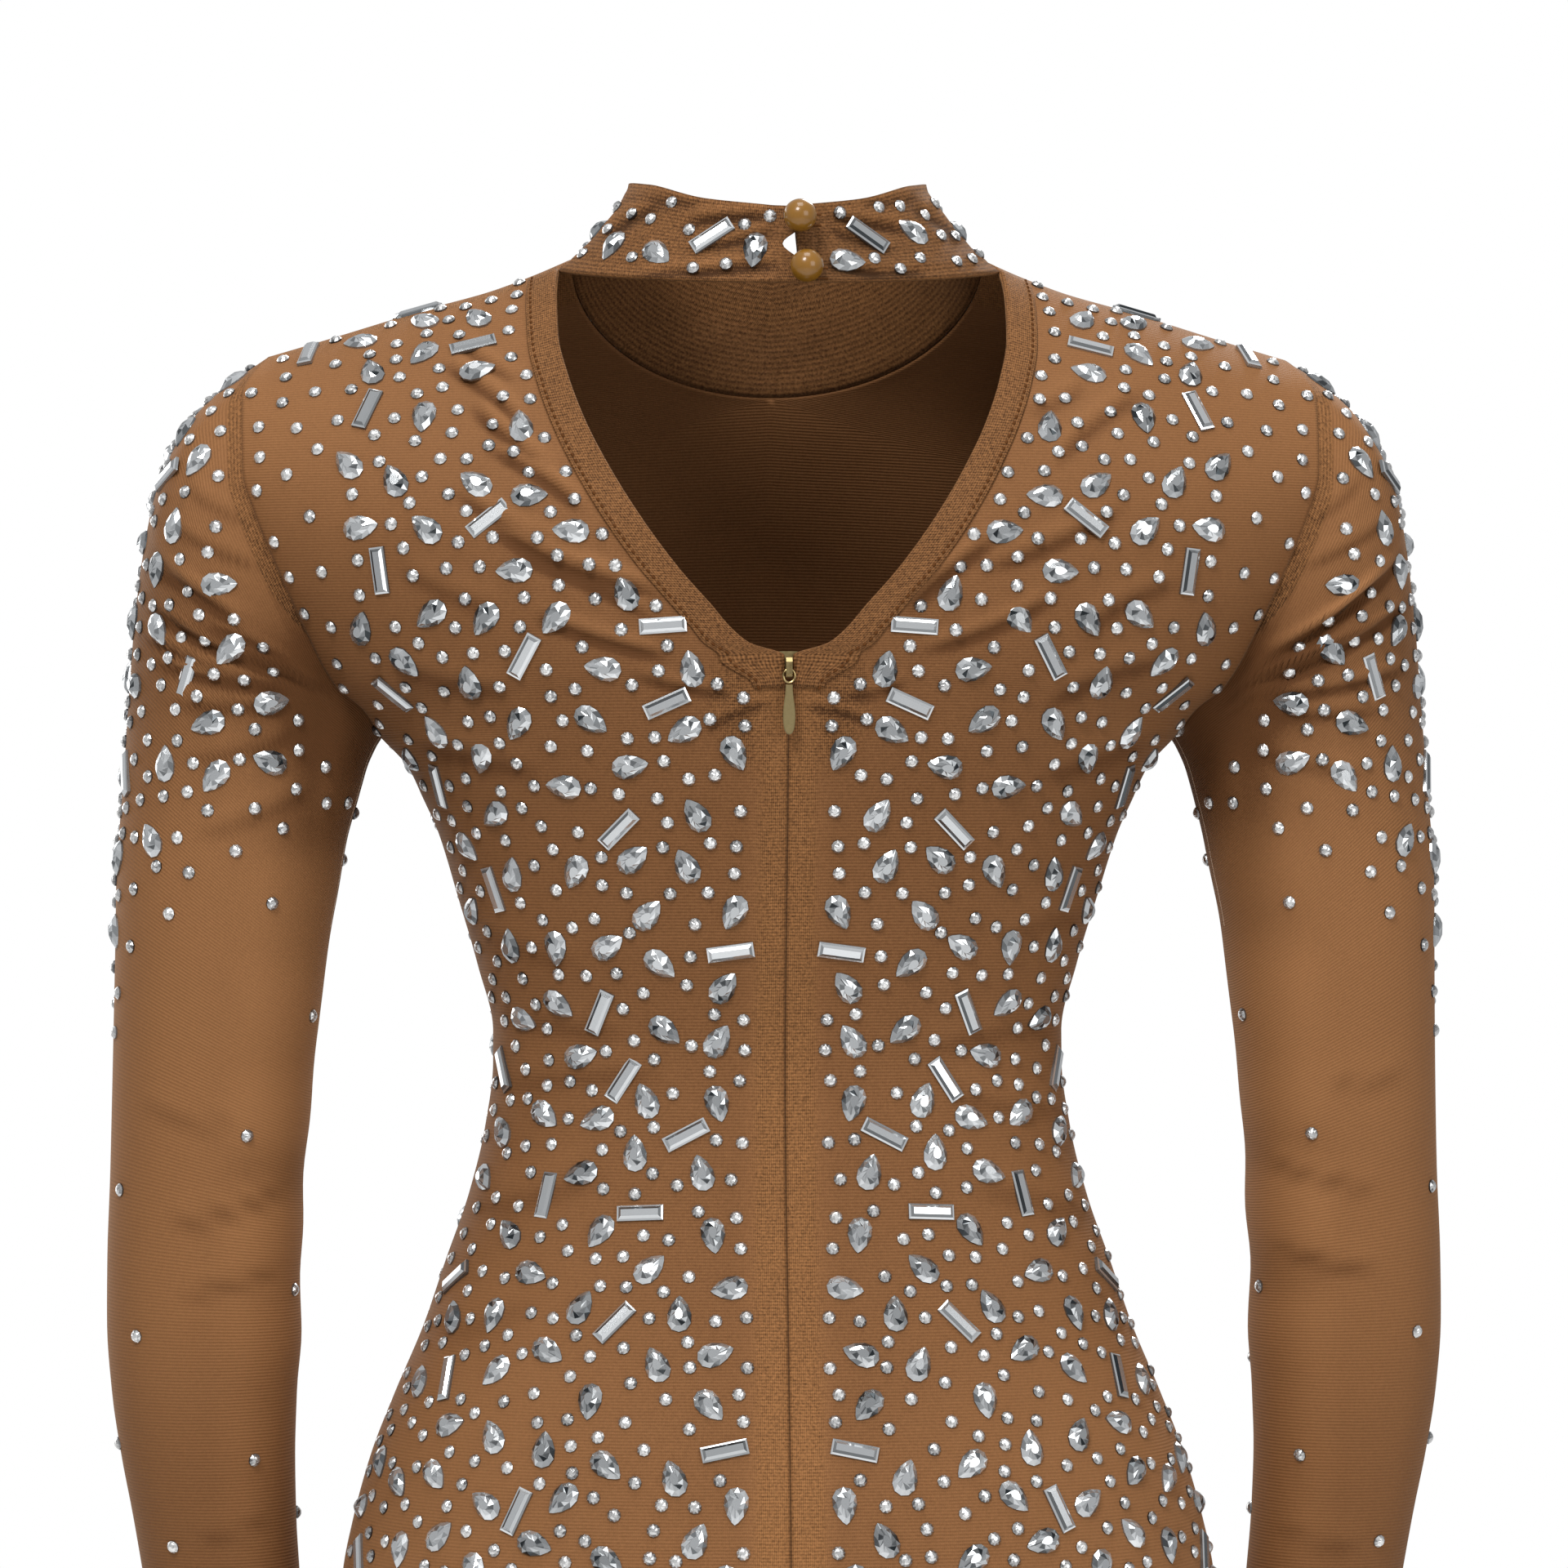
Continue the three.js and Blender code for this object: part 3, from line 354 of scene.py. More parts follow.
def half_panel(side):
    """The left half of a panel as rows of points, with each row's place on the stones' grid."""
    heights = np.concatenate([np.linspace(HEM_Z, TRUNK_Z, SKIRT_CELLS + 1)[:-1],
                              np.linspace(TRUNK_Z, UNDERARM_Z, TRUNK_CELLS + 1)])
    climbs = np.linspace(0, FAN, FAN_CELLS + 1)[1:]
    rows = [panel_row(side, height=z) for z in heights] + [panel_row(side, climb=c) for c in climbs]
    grid = []
    for edge, band, side_x, full, power, place in rows:
        start = edge + band
        turns = [math.asin(min(1.0, (x / full) ** (power / 2))) for x in (start, side_x)]
        xs = full * np.sin(np.linspace(*turns, FINE)) ** (2 / power)
        points = evenly(place(xs), PANEL_CELLS)
        if side == "back":
            strip = place(np.linspace(edge, start, BAND_CELLS + 1))
            points = np.concatenate([strip[:-1], points])
        grid.append(points)
    skirt = (heights - HEM_Z) / (TRUNK_Z - HEM_Z) * TRUNK_STEP
    trunk = (heights - TRUNK_Z) / (UNDERARM_Z - TRUNK_Z) * (UNDERARM_STEP - TRUNK_STEP)
    level = np.where(heights < TRUNK_Z, skirt, TRUNK_STEP + trunk)
    return np.array(grid), np.concatenate([level, UNDERARM_STEP + climbs])


def normals_of(grid, sign):
    """Outward directions of a grid whose rows climb and whose columns go outwards."""
    up = np.gradient(grid, axis=0)
    across = np.gradient(grid, axis=1)
    return unit(np.cross(up, across)) * sign


RIDGE, RIDGE_BESIDE, RIDGE_WIDTH = 0.75, 1.8, 1.15  # against the trough's depth and width


def strokes(points, lines, facing):
    """Soft troughs, each with a low ridge above it.

    A line has its two ends across and up, then its depth, its width and how far it bows.
    """
    total = np.zeros(points.shape[:-1])
    x, z = points[..., 0] / MM, points[..., 2] / MM
    for x0, z0, x1, z1, depth, width, bow in lines:
        length = math.hypot(x1 - x0, z1 - z0)
        ux, uz = (x1 - x0) / length, (z1 - z0) / length
        along = ((x - x0) * ux + (z - z0) * uz) / length
        inside = np.clip(along, 0, 1)
        beside = (x - x0) * -uz + (z - z0) * ux - bow * 4 * inside * (1 - inside)
        taper = smooth(np.minimum(along, 1 - along) / 0.3 + 0.1)
        trough = np.exp(-(beside / width) ** 2)
        above = beside - math.copysign(RIDGE_BESIDE * width, ux)
        ridge = np.exp(-(above / (RIDGE_WIDTH * width)) ** 2)
        total += taper * depth * (RIDGE * ridge - trough)
    return total * MM * smooth(facing)


SWELL_WAVES, SWELL_DEPTH, SWELL_TURNS = 10, 0.13, 26  # turns in radians to a metre


def swell(points, seed):
    """The slight unevenness of stretched cloth."""
    rng = np.random.default_rng(seed)
    total = np.zeros(points.shape[:-1])
    for _ in range(SWELL_WAVES):
        wave = rng.normal(size=3) * SWELL_TURNS
        total += np.sin(points @ wave + rng.uniform(0, 6.3)) * SWELL_DEPTH * MM
    return total


class Cloth:
    """A sheet's outer grid and what is known at each of its points.

    uv runs along and across the ribs. doubled is how far inside a two-layer place the point
    lies, in millimetres. seam is its distance from the nearest sewn line. The last value is 1
    where the mesh is drawn thin and pale, and 0 where it is slack and dark, and it also holds
    painted light and shade: painted shade where the cloth turns away, in its folds and in the
    armpits, and painted light where it faces up to the lamps.
    """

    def __init__(self, grid, normals, uv, doubled, seam, stretch, rows=None):
        self.grid, self.normals, self.uv, self.rows = grid, normals, uv, rows
        self.known = {"doubled": doubled, "seam": seam, "stretch": stretch}

    def changed(self, **parts):
        now = dict(grid=self.grid, normals=self.normals, uv=self.uv, rows=self.rows, **self.known)
        return Cloth(**{**now, **parts})

    def mirrored(self):
        flip = np.array([-1.0, 1.0, 1.0])
        return self.changed(grid=self.grid * flip, normals=self.normals * flip,
                            uv=self.uv * np.array([-1.0, 1.0]))

    def cut(self, rows, columns):
        """The part of the cloth in some of its rows and columns."""
        known = {key: values[rows, columns] for key, values in self.known.items()}
        return Cloth(self.grid[rows, columns], self.normals[rows, columns],
                     self.uv[rows, columns], rows=self.rows[rows], **known)

    def pushed(self, distance):
        return self.changed(grid=self.grid + self.normals * distance[..., None])


def carry(mesh, name, kind, values, domain="POINT"):
    """Gives a mesh a named value or direction at each of its points or faces."""
    spread = mesh.attributes.new(name, kind, domain)
    key = "value" if kind == "FLOAT" else "vector"
    spread.data.foreach_set(key, np.asarray(values, np.float32).reshape(-1))


def cloth_object(name, sheets, thickness, material, turn, closed=False):
    """A closed wall of cloth from one or two grids that share an edge.

    turn has 1 or -1 for each grid: -1 where its columns run the other way round. closed joins
    the last column of a tube to its first.
    """
    outer, inward, uvs, quads = [], [], [], []
    known = {key: [] for key in sheets[0].known}
    count = 0
    for sheet, sign in zip(sheets, turn):
        rows, columns = sheet.grid.shape[:2]
        outer.append(sheet.grid.reshape(-1, 3))
        inward.append(sheet.normals.reshape(-1, 3))
        uvs.append(sheet.uv.reshape(-1, 2))
        for key, values in sheet.known.items():
            known[key].append(values.reshape(-1))
        strips = columns if closed else columns - 1
        r, c = np.meshgrid(np.arange(rows - 1), np.arange(strips), indexing="ij")
        n = (c + 1) % columns
        lower, upper = r * columns, (r + 1) * columns
        faces = np.stack([lower + c, upper + c, upper + n, lower + n], -1).reshape(-1, 4) + count
        quads.append(faces if sign > 0 else faces[:, ::-1])
        count += rows * columns
    outer, inward = np.concatenate(outer), np.concatenate(inward)
    uvs, quads = np.concatenate(uvs), np.concatenate(quads)
    _, first, same = np.unique(np.round(outer * 1e6).astype(np.int64), axis=0,
                               return_index=True, return_inverse=True)
    same = same.reshape(-1)
    outer, inward, uvs, quads = outer[first], inward[first], uvs[first], same[quads]
    count = len(outer)
    edges = np.concatenate([quads[:, [i, (i + 1) % 4]] for i in range(4)])
    codes = edges[:, 0].astype(np.int64) * count + edges[:, 1]
    back = edges[:, 1].astype(np.int64) * count + edges[:, 0]
    rim = edges[~np.isin(codes, back)]
    walls = np.stack([rim[:, 1], rim[:, 0], rim[:, 0] + count, rim[:, 1] + count], -1)
    faces = np.concatenate([quads, quads[:, ::-1] + count, walls])
    points = np.concatenate([outer, outer - inward * thickness])
    mesh = bpy.data.meshes.new(name)
    mesh.from_pydata(points.tolist(), [], faces.tolist())
    mesh.polygons.foreach_set("use_smooth", np.ones(len(faces), bool))
    where = np.concatenate([uvs, uvs])[faces.reshape(-1)]
    mesh.uv_layers.new(name="ribs").data.foreach_set("uv", where.reshape(-1).astype(np.float32))
    for key, values in known.items():
        values = np.concatenate(values)[first]
        carry(mesh, key, "FLOAT", np.concatenate([values, values]))
    mesh.materials.append(material)
    mesh.update()
    return placed(name, mesh)


def finish_cloth(piece, node):
    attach(piece, "dress")
    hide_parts(node)


RIB_PITCH = 1.3 * MM
STITCH_PITCH = 0.9 * MM
LATTICE = (0.8 * MM, 1.3 * MM)  # the crossed weave's dots, across and along
SLACK = (0.103, 0.0395, 0.0118)  # one layer lying close: dark caramel
TAUT = (0.300, 0.1355, 0.0515)  # one layer drawn thin
DOUBLED_SLACK = (0.050, 0.0190, 0.0050)  # the shadow between two layers
DOUBLED_TAUT = (0.332, 0.148, 0.052)  # two layers: golden brown


def mesh_cloth(name):
    """Ribbed elastic mesh, paler or darker both by how far it is drawn thin and by painted light
    and shade. Its two-layer places show a crossed weave, its seams a dark ditch.
    """
    paint = Paint(name, Roughness=0.74, Sheen_Weight=0.10, Sheen_Roughness=0.4,
                  Sheen_Tint=(0.9, 0.58, 0.33, 1), Specular_IOR_Level=0.14)
    ribs_map = paint.node("ShaderNodeUVMap", {"uv_map": "ribs"})
    across = paint.node("ShaderNodeSeparateXYZ", None, ribs_map, output=0)
    length = paint.node("ShaderNodeSeparateXYZ", None, ribs_map, output=1)
    wander = paint.noise(70.0, 2.0) * 1.6
    rib = (length * (2 * math.pi / RIB_PITCH) + wander).sin()
    loop = (across * (2 * math.pi / STITCH_PITCH) + wander).sin()
    wale, course = across * (math.pi / LATTICE[0]), length * (math.pi / LATTICE[1])
    crossed = (wale + course + wander).sin() * (wale - course).sin()
    doubled = paint.attribute("doubled").ramp(-0.4, 0.4)
    grain = paint.noise(1100.0, 2.0) - 0.5
    cloudy = paint.noise(11.0, 4.0, 0.6) - 0.5
    place = paint.node("ShaderNodeTexCoord", output=3)
    sideways = paint.node("ShaderNodeSeparateXYZ", None, place, output=0).math("ABSOLUTE")
    open_knit = 1.5 - sideways.ramp(0.02, 0.15) * 0.65  # the knit opens towards the middle
    single = (rib * 0.09 + rib * loop * 0.06 + crossed * 0.06 + grain * 0.40) * open_knit
    dense = crossed * 0.26 + rib * 0.06 + grain * 1.25
    texture = single * (1 - doubled) + dense * doubled
    # the cloth's own paleness and its painted light and shade come in together here
    share = paint.attribute("stretch") + texture + cloudy * 0.2
    share = paint.node("ShaderNodeClamp", None, share)
    cloth = paint.mix(doubled, paint.mix(share, SLACK, TAUT),
                      paint.mix(share, DOUBLED_SLACK, DOUBLED_TAUT))
    ditch = (1 - paint.attribute("seam").ramp(0.1, 0.8)) * 0.5
    paint.feed(Base_Color=paint.mix(ditch, cloth, (0.035, 0.014, 0.006)))
    relief = rib * (1 - doubled) * 0.5 + crossed * doubled * 0.7 + grain * 0.6
    paint.feed(Normal=paint.bump(relief, 0.16 * MM, 0.8))
    return paint.material


body_cloth = mesh_cloth("stretch_mesh")

SIDE_ALLOWANCE, SHOULDER_ALLOWANCE = 3.5, 1.1  # millimetres, and steps of the fan
HEM_TURNED, HEM_SEWN = 20, 19
TAPE_WIDTH = 11.5  # as it shows through the mesh
TAPE_WIDEN = 0.02  # and it shows a little wider further down
ZIP_FOOT_Z = -555
FAR = 9  # from an edge or a seam, where nothing of it shows
TURNED_SHADE = 0.10  # painted shade where the cloth turns away from the back or the front
SIDE_SHADE, SIDE_SHADE_WIDTH = 0.12, 16  # painted shade close to the side seams
# paler towards the armholes high up: the mesh drawn thin there, and painted light on the shoulders
ARMHOLE_PALE, ARMHOLE_PALE_WIDTH = 0.18, 34
TAPE_PALE = 0.18  # the zip's tape behind the mesh lightens it
# darker down the middle of the hips: the mesh less drawn there, and painted shade that evens out
# the light across them
HIP_DARK, HIP_Z, HIP_HALF_WIDTH, HIP_HALF_HEIGHT = 0.19, -430, 75, 90
STRETCH_AND_SHADE = {  # how pale the mesh is by height: how far it is drawn thin, and painted light from above
    "back": [(-900, 0.55), (-520, 0.67), (-440, 0.63), (-390, 0.54), (-330, 0.47), (-270, 0.40),
             (-200, 0.32), (-150, 0.36), (-110, 0.43), (-60, 0.52), (0, 0.57)],
    "front": [(-900, 0.55), (-520, 0.60), (-400, 0.52), (-320, 0.40), (-250, 0.42), (-190, 0.64),
              (-130, 0.54), (-60, 0.54), (0, 0.60)],
}


def panel_cloth(side):
    """The left half of a panel with all that is known of its mesh."""
    grid, rows = half_panel(side)
    normals = normals_of(grid, 1 if side == "back" else -1)
    steps = np.linalg.norm(np.diff(grid, axis=1), axis=2)
    across = np.concatenate([np.zeros((len(grid), 1)), np.cumsum(steps, axis=1)], axis=1)
    across = across + grid[:, :1, 0]
    middle = grid.shape[1] // 2
    climb = np.linalg.norm(np.diff(grid, axis=0), axis=2)[:, middle]
    length = np.concatenate([[0], np.cumsum(climb)])[:, None]
    length = length + (grid[..., 2] - grid[:, middle, 2][:, None]) * 0.9
    from_side = (across[:, -1:] - across) / MM
    inside = (across - grid[:, :1, 0]) / MM
    z = grid[..., 2] / MM
    fan = rows[:, None] - UNDERARM_STEP + 0 * z  # steps above the underarm
    below_pit = np.where(fan <= 0, SIDE_ALLOWANCE - from_side, -FAR)
    doubled = np.maximum(below_pit, HEM_Z + HEM_TURNED - z)
    doubled = np.maximum(doubled, (fan - (FAN - SHOULDER_ALLOWANCE)) * 6)
    seam = np.minimum(from_side + 0.45 * (fan > 0), np.abs(z - (HEM_Z + HEM_SEWN)))
    facing = np.abs(normals[..., 1])
    # painted shade where the cloth turns away
    stretch = curve(STRETCH_AND_SHADE[side], z) - TURNED_SHADE * (1 - smooth(facing * 1.25)) ** 1.5
    if side == "back":
        seam = np.minimum(seam, np.where(fan < 2, inside * 0.9, FAR))
        tape = TAPE_WIDTH + np.maximum(0, -z - 200) * TAPE_WIDEN / 2
        soft_band = (tape - inside - 1) * 0.12
        zip_top = (30 - np.hypot(across / MM, z - KEYHOLE_TIP_Z + 16)) * 0.05
        beside_zip = np.where(z > ZIP_FOOT_Z, np.maximum(soft_band, zip_top), -FAR)
        doubled = np.maximum(doubled, beside_zip)
        stretch = stretch + TAPE_PALE * smooth((tape - inside + 9) / 16) * (fan < 2)
        # painted shade down the middle of the hips
        hip_middle = np.exp(-(across / MM / HIP_HALF_WIDTH) ** 2)
        hip_middle = hip_middle * np.exp(-((z - HIP_Z) / HIP_HALF_HEIGHT) ** 2)
        stretch = stretch - HIP_DARK * hip_middle
    # painted light near the armhole
    near_armhole = np.exp(-from_side / ARMHOLE_PALE_WIDTH) * smooth((fan - 2) / 3)
    stretch = stretch + ARMHOLE_PALE * near_armhole * smooth((fan - 5) / 4)
    # painted shade near the side seams
    stretch = stretch - SIDE_SHADE * np.exp(-from_side / SIDE_SHADE_WIDTH) * (fan <= 5)
    # At a seam the wall turns in square to it, so that two panels meet edge to edge.
    normals[:, -1, 1] = np.where(rows <= UNDERARM_STEP, 0, normals[:, -1, 1])
    normals[-1, :, 1] = 0
    flat = rows <= UNDERARM_STEP + (TIP_CLIMB if side == "back" else FAN / 2)
    normals[flat, 0, 0] = 0
    uv = np.stack([across, length], axis=-1)
    return Cloth(grid, unit(normals), uv, doubled, seam, stretch, rows)


back = panel_cloth("back")

BACK_CREASES_LEFT = [  # ends across and up, depth, width, bow, all in millimetres
    (134, -41, 100, -69, 1.4, 2.5, -2), (128, -30, 102, -50, 1.0, 2.4, 2),
    (122, -58, 90, -84, 1.6, 2.5, 2), (116, -76, 78, -102, 1.7, 2.5, -2),
    (130, -92, 80, -116, 1.1, 2.7, 3), (116, -107, 48, -134, 2.4, 2.9, 3),
    (106, -119, 50, -144, 1.3, 2.4, -2), (98, -141, 44, -158, 1.6, 2.5, 2),
    (60, -164, 20, -171, 1.0, 2.2, 2), (34, -187, 4, -174, 0.8, 1.8, -2),
    (150, -122, 110, -140, 0.6, 3.5, 2), (152, -160, 104, -172, 0.7, 3.7, 2),
    (146, -188, 92, -202, 0.7, 3.9, 2), (120, -262, 78, -276, 0.4, 4.2, 2),
    (114, -294, 58, -302, 0.5, 4.2, 2), (112, -324, 44, -318, 0.5, 4.2, -2),
    (128, -372, 66, -352, 0.5, 5.0, 3), (140, -420, 96, -402, 0.4, 5.0, 3),
]
BACK_CREASES_RIGHT = [
    (-92, -62, -118, -50, 0.8, 2.7, 2), (-142, -52, -102, -84, 1.0, 2.9, 2),
    (-44, -142, -84, -110, 1.6, 2.7, -2), (-48, -156, -106, -132, 1.4, 2.5, 3),
    (-132, -98, -72, -124, 1.2, 3.0, -3), (-154, -128, -112, -150, 0.8, 3.5, 3),
    (-20, -172, -46, -166, 0.9, 2.0, 2), (-4, -176, -34, -184, 0.8, 1.8, -2),
    (-152, -158, -96, -178, 0.9, 3.7, 3), (-146, -186, -96, -204, 0.7, 3.9, -2),
    (-122, -256, -84, -268, 0.4, 4.2, 2), (-112, -300, -52, -310, 0.5, 4.2, 2),
    (-114, -334, -60, -324, 0.5, 4.2, -2), (-130, -380, -70, -362, 0.5, 5.0, 3),
]
SEAM_DIP, SEAM_DIP_WIDTH = 0.5 * MM, 0.9 * MM
FOLD_SHADE = 0.44  # painted shade in the troughs of folds
RIDGE_PALES = 0.4  # how much less a ridge's painted highlight pales it than a trough's painted shade darkens it
FRONTAL = 2.5  # a crease fades where its cloth turns from its side of the dress


def fold_shade(folds):
    """What folds add to the cloth's colour: painted shade in their troughs, a fainter painted
    highlight on their ridges.
    """
    return np.minimum(folds, folds * RIDGE_PALES) / MM * FOLD_SHADE


def settled(cloth, lines, side_sign, seed):
    """Creased, slightly uneven cloth. Seam edges keep their places."""
    rows, columns = cloth.grid.shape[:2]
    edge = np.minimum(np.arange(columns), columns - 1 - np.arange(columns)) / 4
    end = np.minimum(np.arange(rows) / 4, (rows - 1 - np.arange(rows)) / 8)
    hold = smooth(edge)[None, :] * smooth(end)[:, None]
    facing = cloth.normals[..., 1] * side_sign * FRONTAL
    folds = strokes(cloth.grid, lines, facing) * hold
    # painted shade in the creases, and a fainter painted highlight on their ridges
    cloth = cloth.changed(stretch=cloth.known["stretch"] + fold_shade(folds))
    return cloth.pushed(folds + swell(cloth.grid, seed) * hold)


def seam_rolled(cloth):
    """The first columns roll in at the centre seam below the keyhole."""
    inside = np.linalg.norm(cloth.grid - cloth.grid[:, :1], axis=2)
    below = smooth(UNDERARM_STEP + 2.2 - cloth.rows)[:, None]
    return cloth.pushed(-SEAM_DIP * np.exp(-(inside / SEAM_DIP_WIDTH) ** 2) * below)


back_left = seam_rolled(settled(back, BACK_CREASES_LEFT, 1, 5))
back_right = seam_rolled(settled(back.mirrored(), BACK_CREASES_RIGHT, 1, 6))
for side, cloth, turn in (("left", back_left, 1), ("right", back_right, -1)):
    piece = cloth_object(f"cloth_back_{side}", [cloth], CLOTH, body_cloth, (turn,))
    finish_cloth(piece, f"back_{side}")

# ------------------------------------------------------------------------------------------
# The front: one panel of the same mesh, side seam to side seam, up to the neckline under the
# collar. Stretched over the bust and drawn in at the waist, with drag lines to the armholes.
# ------------------------------------------------------------------------------------------
FRONT_CREASES_LEFT = [
    (150, -58, 96, -84, 0.9, 3.8, 2), (170, -90, 96, -112, 1.1, 4.2, 3),
    (176, -120, 110, -146, 1.4, 3.8, -3), (162, -150, 92, -176, 1.1, 4.2, 3),
    (150, -180, 100, -196, 1.0, 4.0, 2), (122, -262, 60, -252, 0.6, 5.2, -3),
    (112, -300, 40, -306, 0.7, 4.8, 2), (112, -330, 66, -322, 0.5, 5.0, -2),
    (134, -392, 80, -378, 0.4, 6.0, 2),
]
FRONT_CREASES_RIGHT = [
    (-146, -60, -104, -88, 0.8, 3.8, 2), (-172, -88, -104, -108, 1.1, 4.2, 3),
    (-178, -118, -98, -140, 1.3, 3.8, -3), (-160, -156, -104, -180, 1.0, 4.4, 3),
    (-144, -190, -90, -206, 0.8, 4.2, 2), (-118, -280, -56, -268, 0.6, 5.0, -3),
    (-110, -312, -46, -316, 0.7, 4.8, 2), (-136, -400, -88, -384, 0.4, 6.0, 2),
]
front = panel_cloth("front")
front_left = settled(front, FRONT_CREASES_LEFT, -1, 7)
front_right = settled(front.mirrored(), FRONT_CREASES_RIGHT, -1, 8)
piece = cloth_object("cloth_front", [front_left, front_right], CLOTH, body_cloth, (-1, 1))
finish_cloth(piece, "front")

# ------------------------------------------------------------------------------------------
# The sleeves: a long tube of the same mesh each, one seam under the arm, eased into the
# armhole. Its seam allowance lies towards the sleeve and shows as a darker edge.
# ------------------------------------------------------------------------------------------
SLEEVE = [  # outer outline across and up, inner outline across and up, back-set, half depth
    (200, -37, 156, -187, 0, 48),
    (212, -45, 158.4, -191.5, 0, 49.5), (226, -56.5, 161.3, -198, 0, 50.5),
    (237.5, -73, 163.6, -206, 0, 50.5), (245, -92, 166, -215.5, 0, 50),
    (249.3, -114, 168.8, -226, 0, 49), (252.5, -141, 171.5, -238, 0, 48),
    (254.9, -173, 174.6, -255, 0, 47), (257.4, -206, 177.6, -275, 0, 46),
    (260.2, -241, 180.4, -297, 0, 44.5), (260.7, -280, 183.2, -322, -1.5, 43),
    (261.2, -318, 185.4, -348, -3, 41.5), (262.2, -356, 187, -373, -6, 40.5),
    (263.9, -391, 188.2, -398, -9, 39.5), (264.5, -419, 188, -421, -12, 39),
    (262.9, -445, 189.8, -445, -15, 38), (259.4, -470, 190.9, -470, -18, 36.5),
    (254.8, -495, 190.5, -495, -21.5, 34.5), (250, -525, 188.7, -525, -26, 32),
    (245, -560, 187, -560, -31, 29.5), (240.5, -595, 185, -595, -36.5, 27.5),
    (237, -628, 183.6, -628, -41.5, 25.5), (235, -655, 183, -655, -45, 24.5),
]
SLEEVE_BLEND = 7  # rows of the table over which the armhole's outline eases into an oval
SLEEVE_AROUND = 124
SLEEVE_FOLDED = 9  # rows of the table down to the end of the armpit's folds
SLEEVE_STEPS = {"folded": 10, "plain": 5}
# how pale the sleeve's mesh is by height: how far it is drawn thin, painted light over the shoulder
# and painted shade near the armpit
SLEEVE_STRETCH_AND_SHADE = [(-660, 0.35), (-560, 0.37), (-470, 0.47), (-400, 0.66), (-240, 0.72),
                  (-205, 0.60), (-165, 0.42), (-125, 0.48), (-80, 0.62), (-37, 0.72)]
SEAM_BEHIND = 0.16  # radians from the arm's underside back to the sleeve's seam
CUFF_TURNED, CUFF_SEWN = 640, 641  # down from the origin


def sleeve_grid():
    """Rings from the armhole to the cuff, each from the shoulder over the back."""
    turns = 2 * math.pi * np.arange(SLEEVE_AROUND) / SLEEVE_AROUND
    side = np.where(turns <= math.pi, 1, -1)
    share = (1 + np.cos(turns)) / 2
    across = np.where(side > 0, curve(ARMHOLE, share, 1), curve(ARMHOLE, share, 2))
    deep = np.where(side > 0, ARMHOLE_DEPTH["back"], ARMHOLE_DEPTH["front"]) * np.sin(turns)
    seam = np.stack([across, deep, mix(UNDERARM_Z, SHOULDER_Z, share)], axis=-1)
    upper = np.linspace(0, SLEEVE_FOLDED, SLEEVE_FOLDED * SLEEVE_STEPS["folded"] + 1)
    below = len(SLEEVE) - 1 - SLEEVE_FOLDED
    steps = np.linspace(SLEEVE_FOLDED, len(SLEEVE) - 1, below * SLEEVE_STEPS["plain"] + 1)
    steps = np.concatenate([upper[:-1], steps])
    table = [(k, *row) for k, row in enumerate(SLEEVE)]
    t = (1 - np.cos(turns)) / 2

    def oval(k):
        ox, oz, ix, iz, y, depth = (float(curve(table, k, c)) for c in range(1, 7))
        return np.stack([mix(ox, ix, t), y + depth * np.sin(turns), mix(oz, iz, t)], axis=-1)

    first = oval(0)
    rings = [oval(k) + (seam - first) * smooth((SLEEVE_BLEND - k) / SLEEVE_BLEND) for k in steps]
    return np.array(rings) * MM, steps, turns


rings, steps, turns = sleeve_grid()
around = np.concatenate([rings, rings[:, :1]], axis=1)
up = np.gradient(rings, axis=0)
ahead = np.roll(rings, -1, axis=1) - np.roll(rings, 1, axis=1)
sleeve_normals = unit(np.cross(up, ahead))
ring_u = np.cumsum(np.linalg.norm(np.diff(around, axis=1), axis=2), axis=1)
ring_climbs = np.linalg.norm(np.diff(rings, axis=0), axis=2)
ring_v = np.concatenate([np.zeros((1, SLEEVE_AROUND)), np.cumsum(ring_climbs, axis=0)])
sleeve_v = ring_v.mean(axis=1, keepdims=True) + 0 * ring_v
sideways = rings[..., 0] / MM
drop = -rings[..., 2] / MM
from_seam = ring_v / MM
under = np.abs(turns - math.pi + SEAM_BEHIND)[None, :] * 40
sleeve_doubled = np.maximum(7.0 - from_seam - 14 * smooth((drop - 125) / 45), drop - CUFF_TURNED)
sleeve_seam = np.minimum(from_seam + 0.4, np.abs(drop - CUFF_SEWN))
sleeve_seam = np.minimum(sleeve_seam, under + 0.6)
outward = np.sign(rings[..., 0]) * sleeve_normals[..., 0]
from_pit = ((sideways - 180) / 20) ** 2 + ((drop - 170) / 26) ** 2
beside_fold = drop - 154 + (sideways - 205) * 0.45  # the deepest fold, out of the armpit
along_fold = ((sideways - 205) / 30) ** 2
SLEEVE_SHADE_AND_LIGHT = [  # painted shade and light on the sleeve, and its darker seam allowance: how much paler or darker, and where
    (-0.16, smooth(outward * 2 - 1.0)),  # painted shade on the outer side
    (0.2, smooth((drop - 225) / 60) * smooth(-outward * 2)),  # painted light on the inner side of the lower arm
    (-0.46, np.exp(-((drop - 195) / 55) ** 2) * smooth(-outward * 2 - 0.6)),  # painted shade on the inner side of the upper arm
    (-0.15, smooth((8 - from_seam) / 1.2) * smooth((175 - drop) / 50)),  # the seam allowance
    # painted shadow in the armpit, then painted shade in the deepest fold out of it
    (-0.7, np.exp(-from_pit)),
    (-0.28, np.exp(-along_fold - (beside_fold / 9) ** 2)),
    (-0.55, np.exp(-along_fold - (beside_fold / 1.7) ** 2)),
]
sleeve_stretch = curve(SLEEVE_STRETCH_AND_SHADE, -drop)
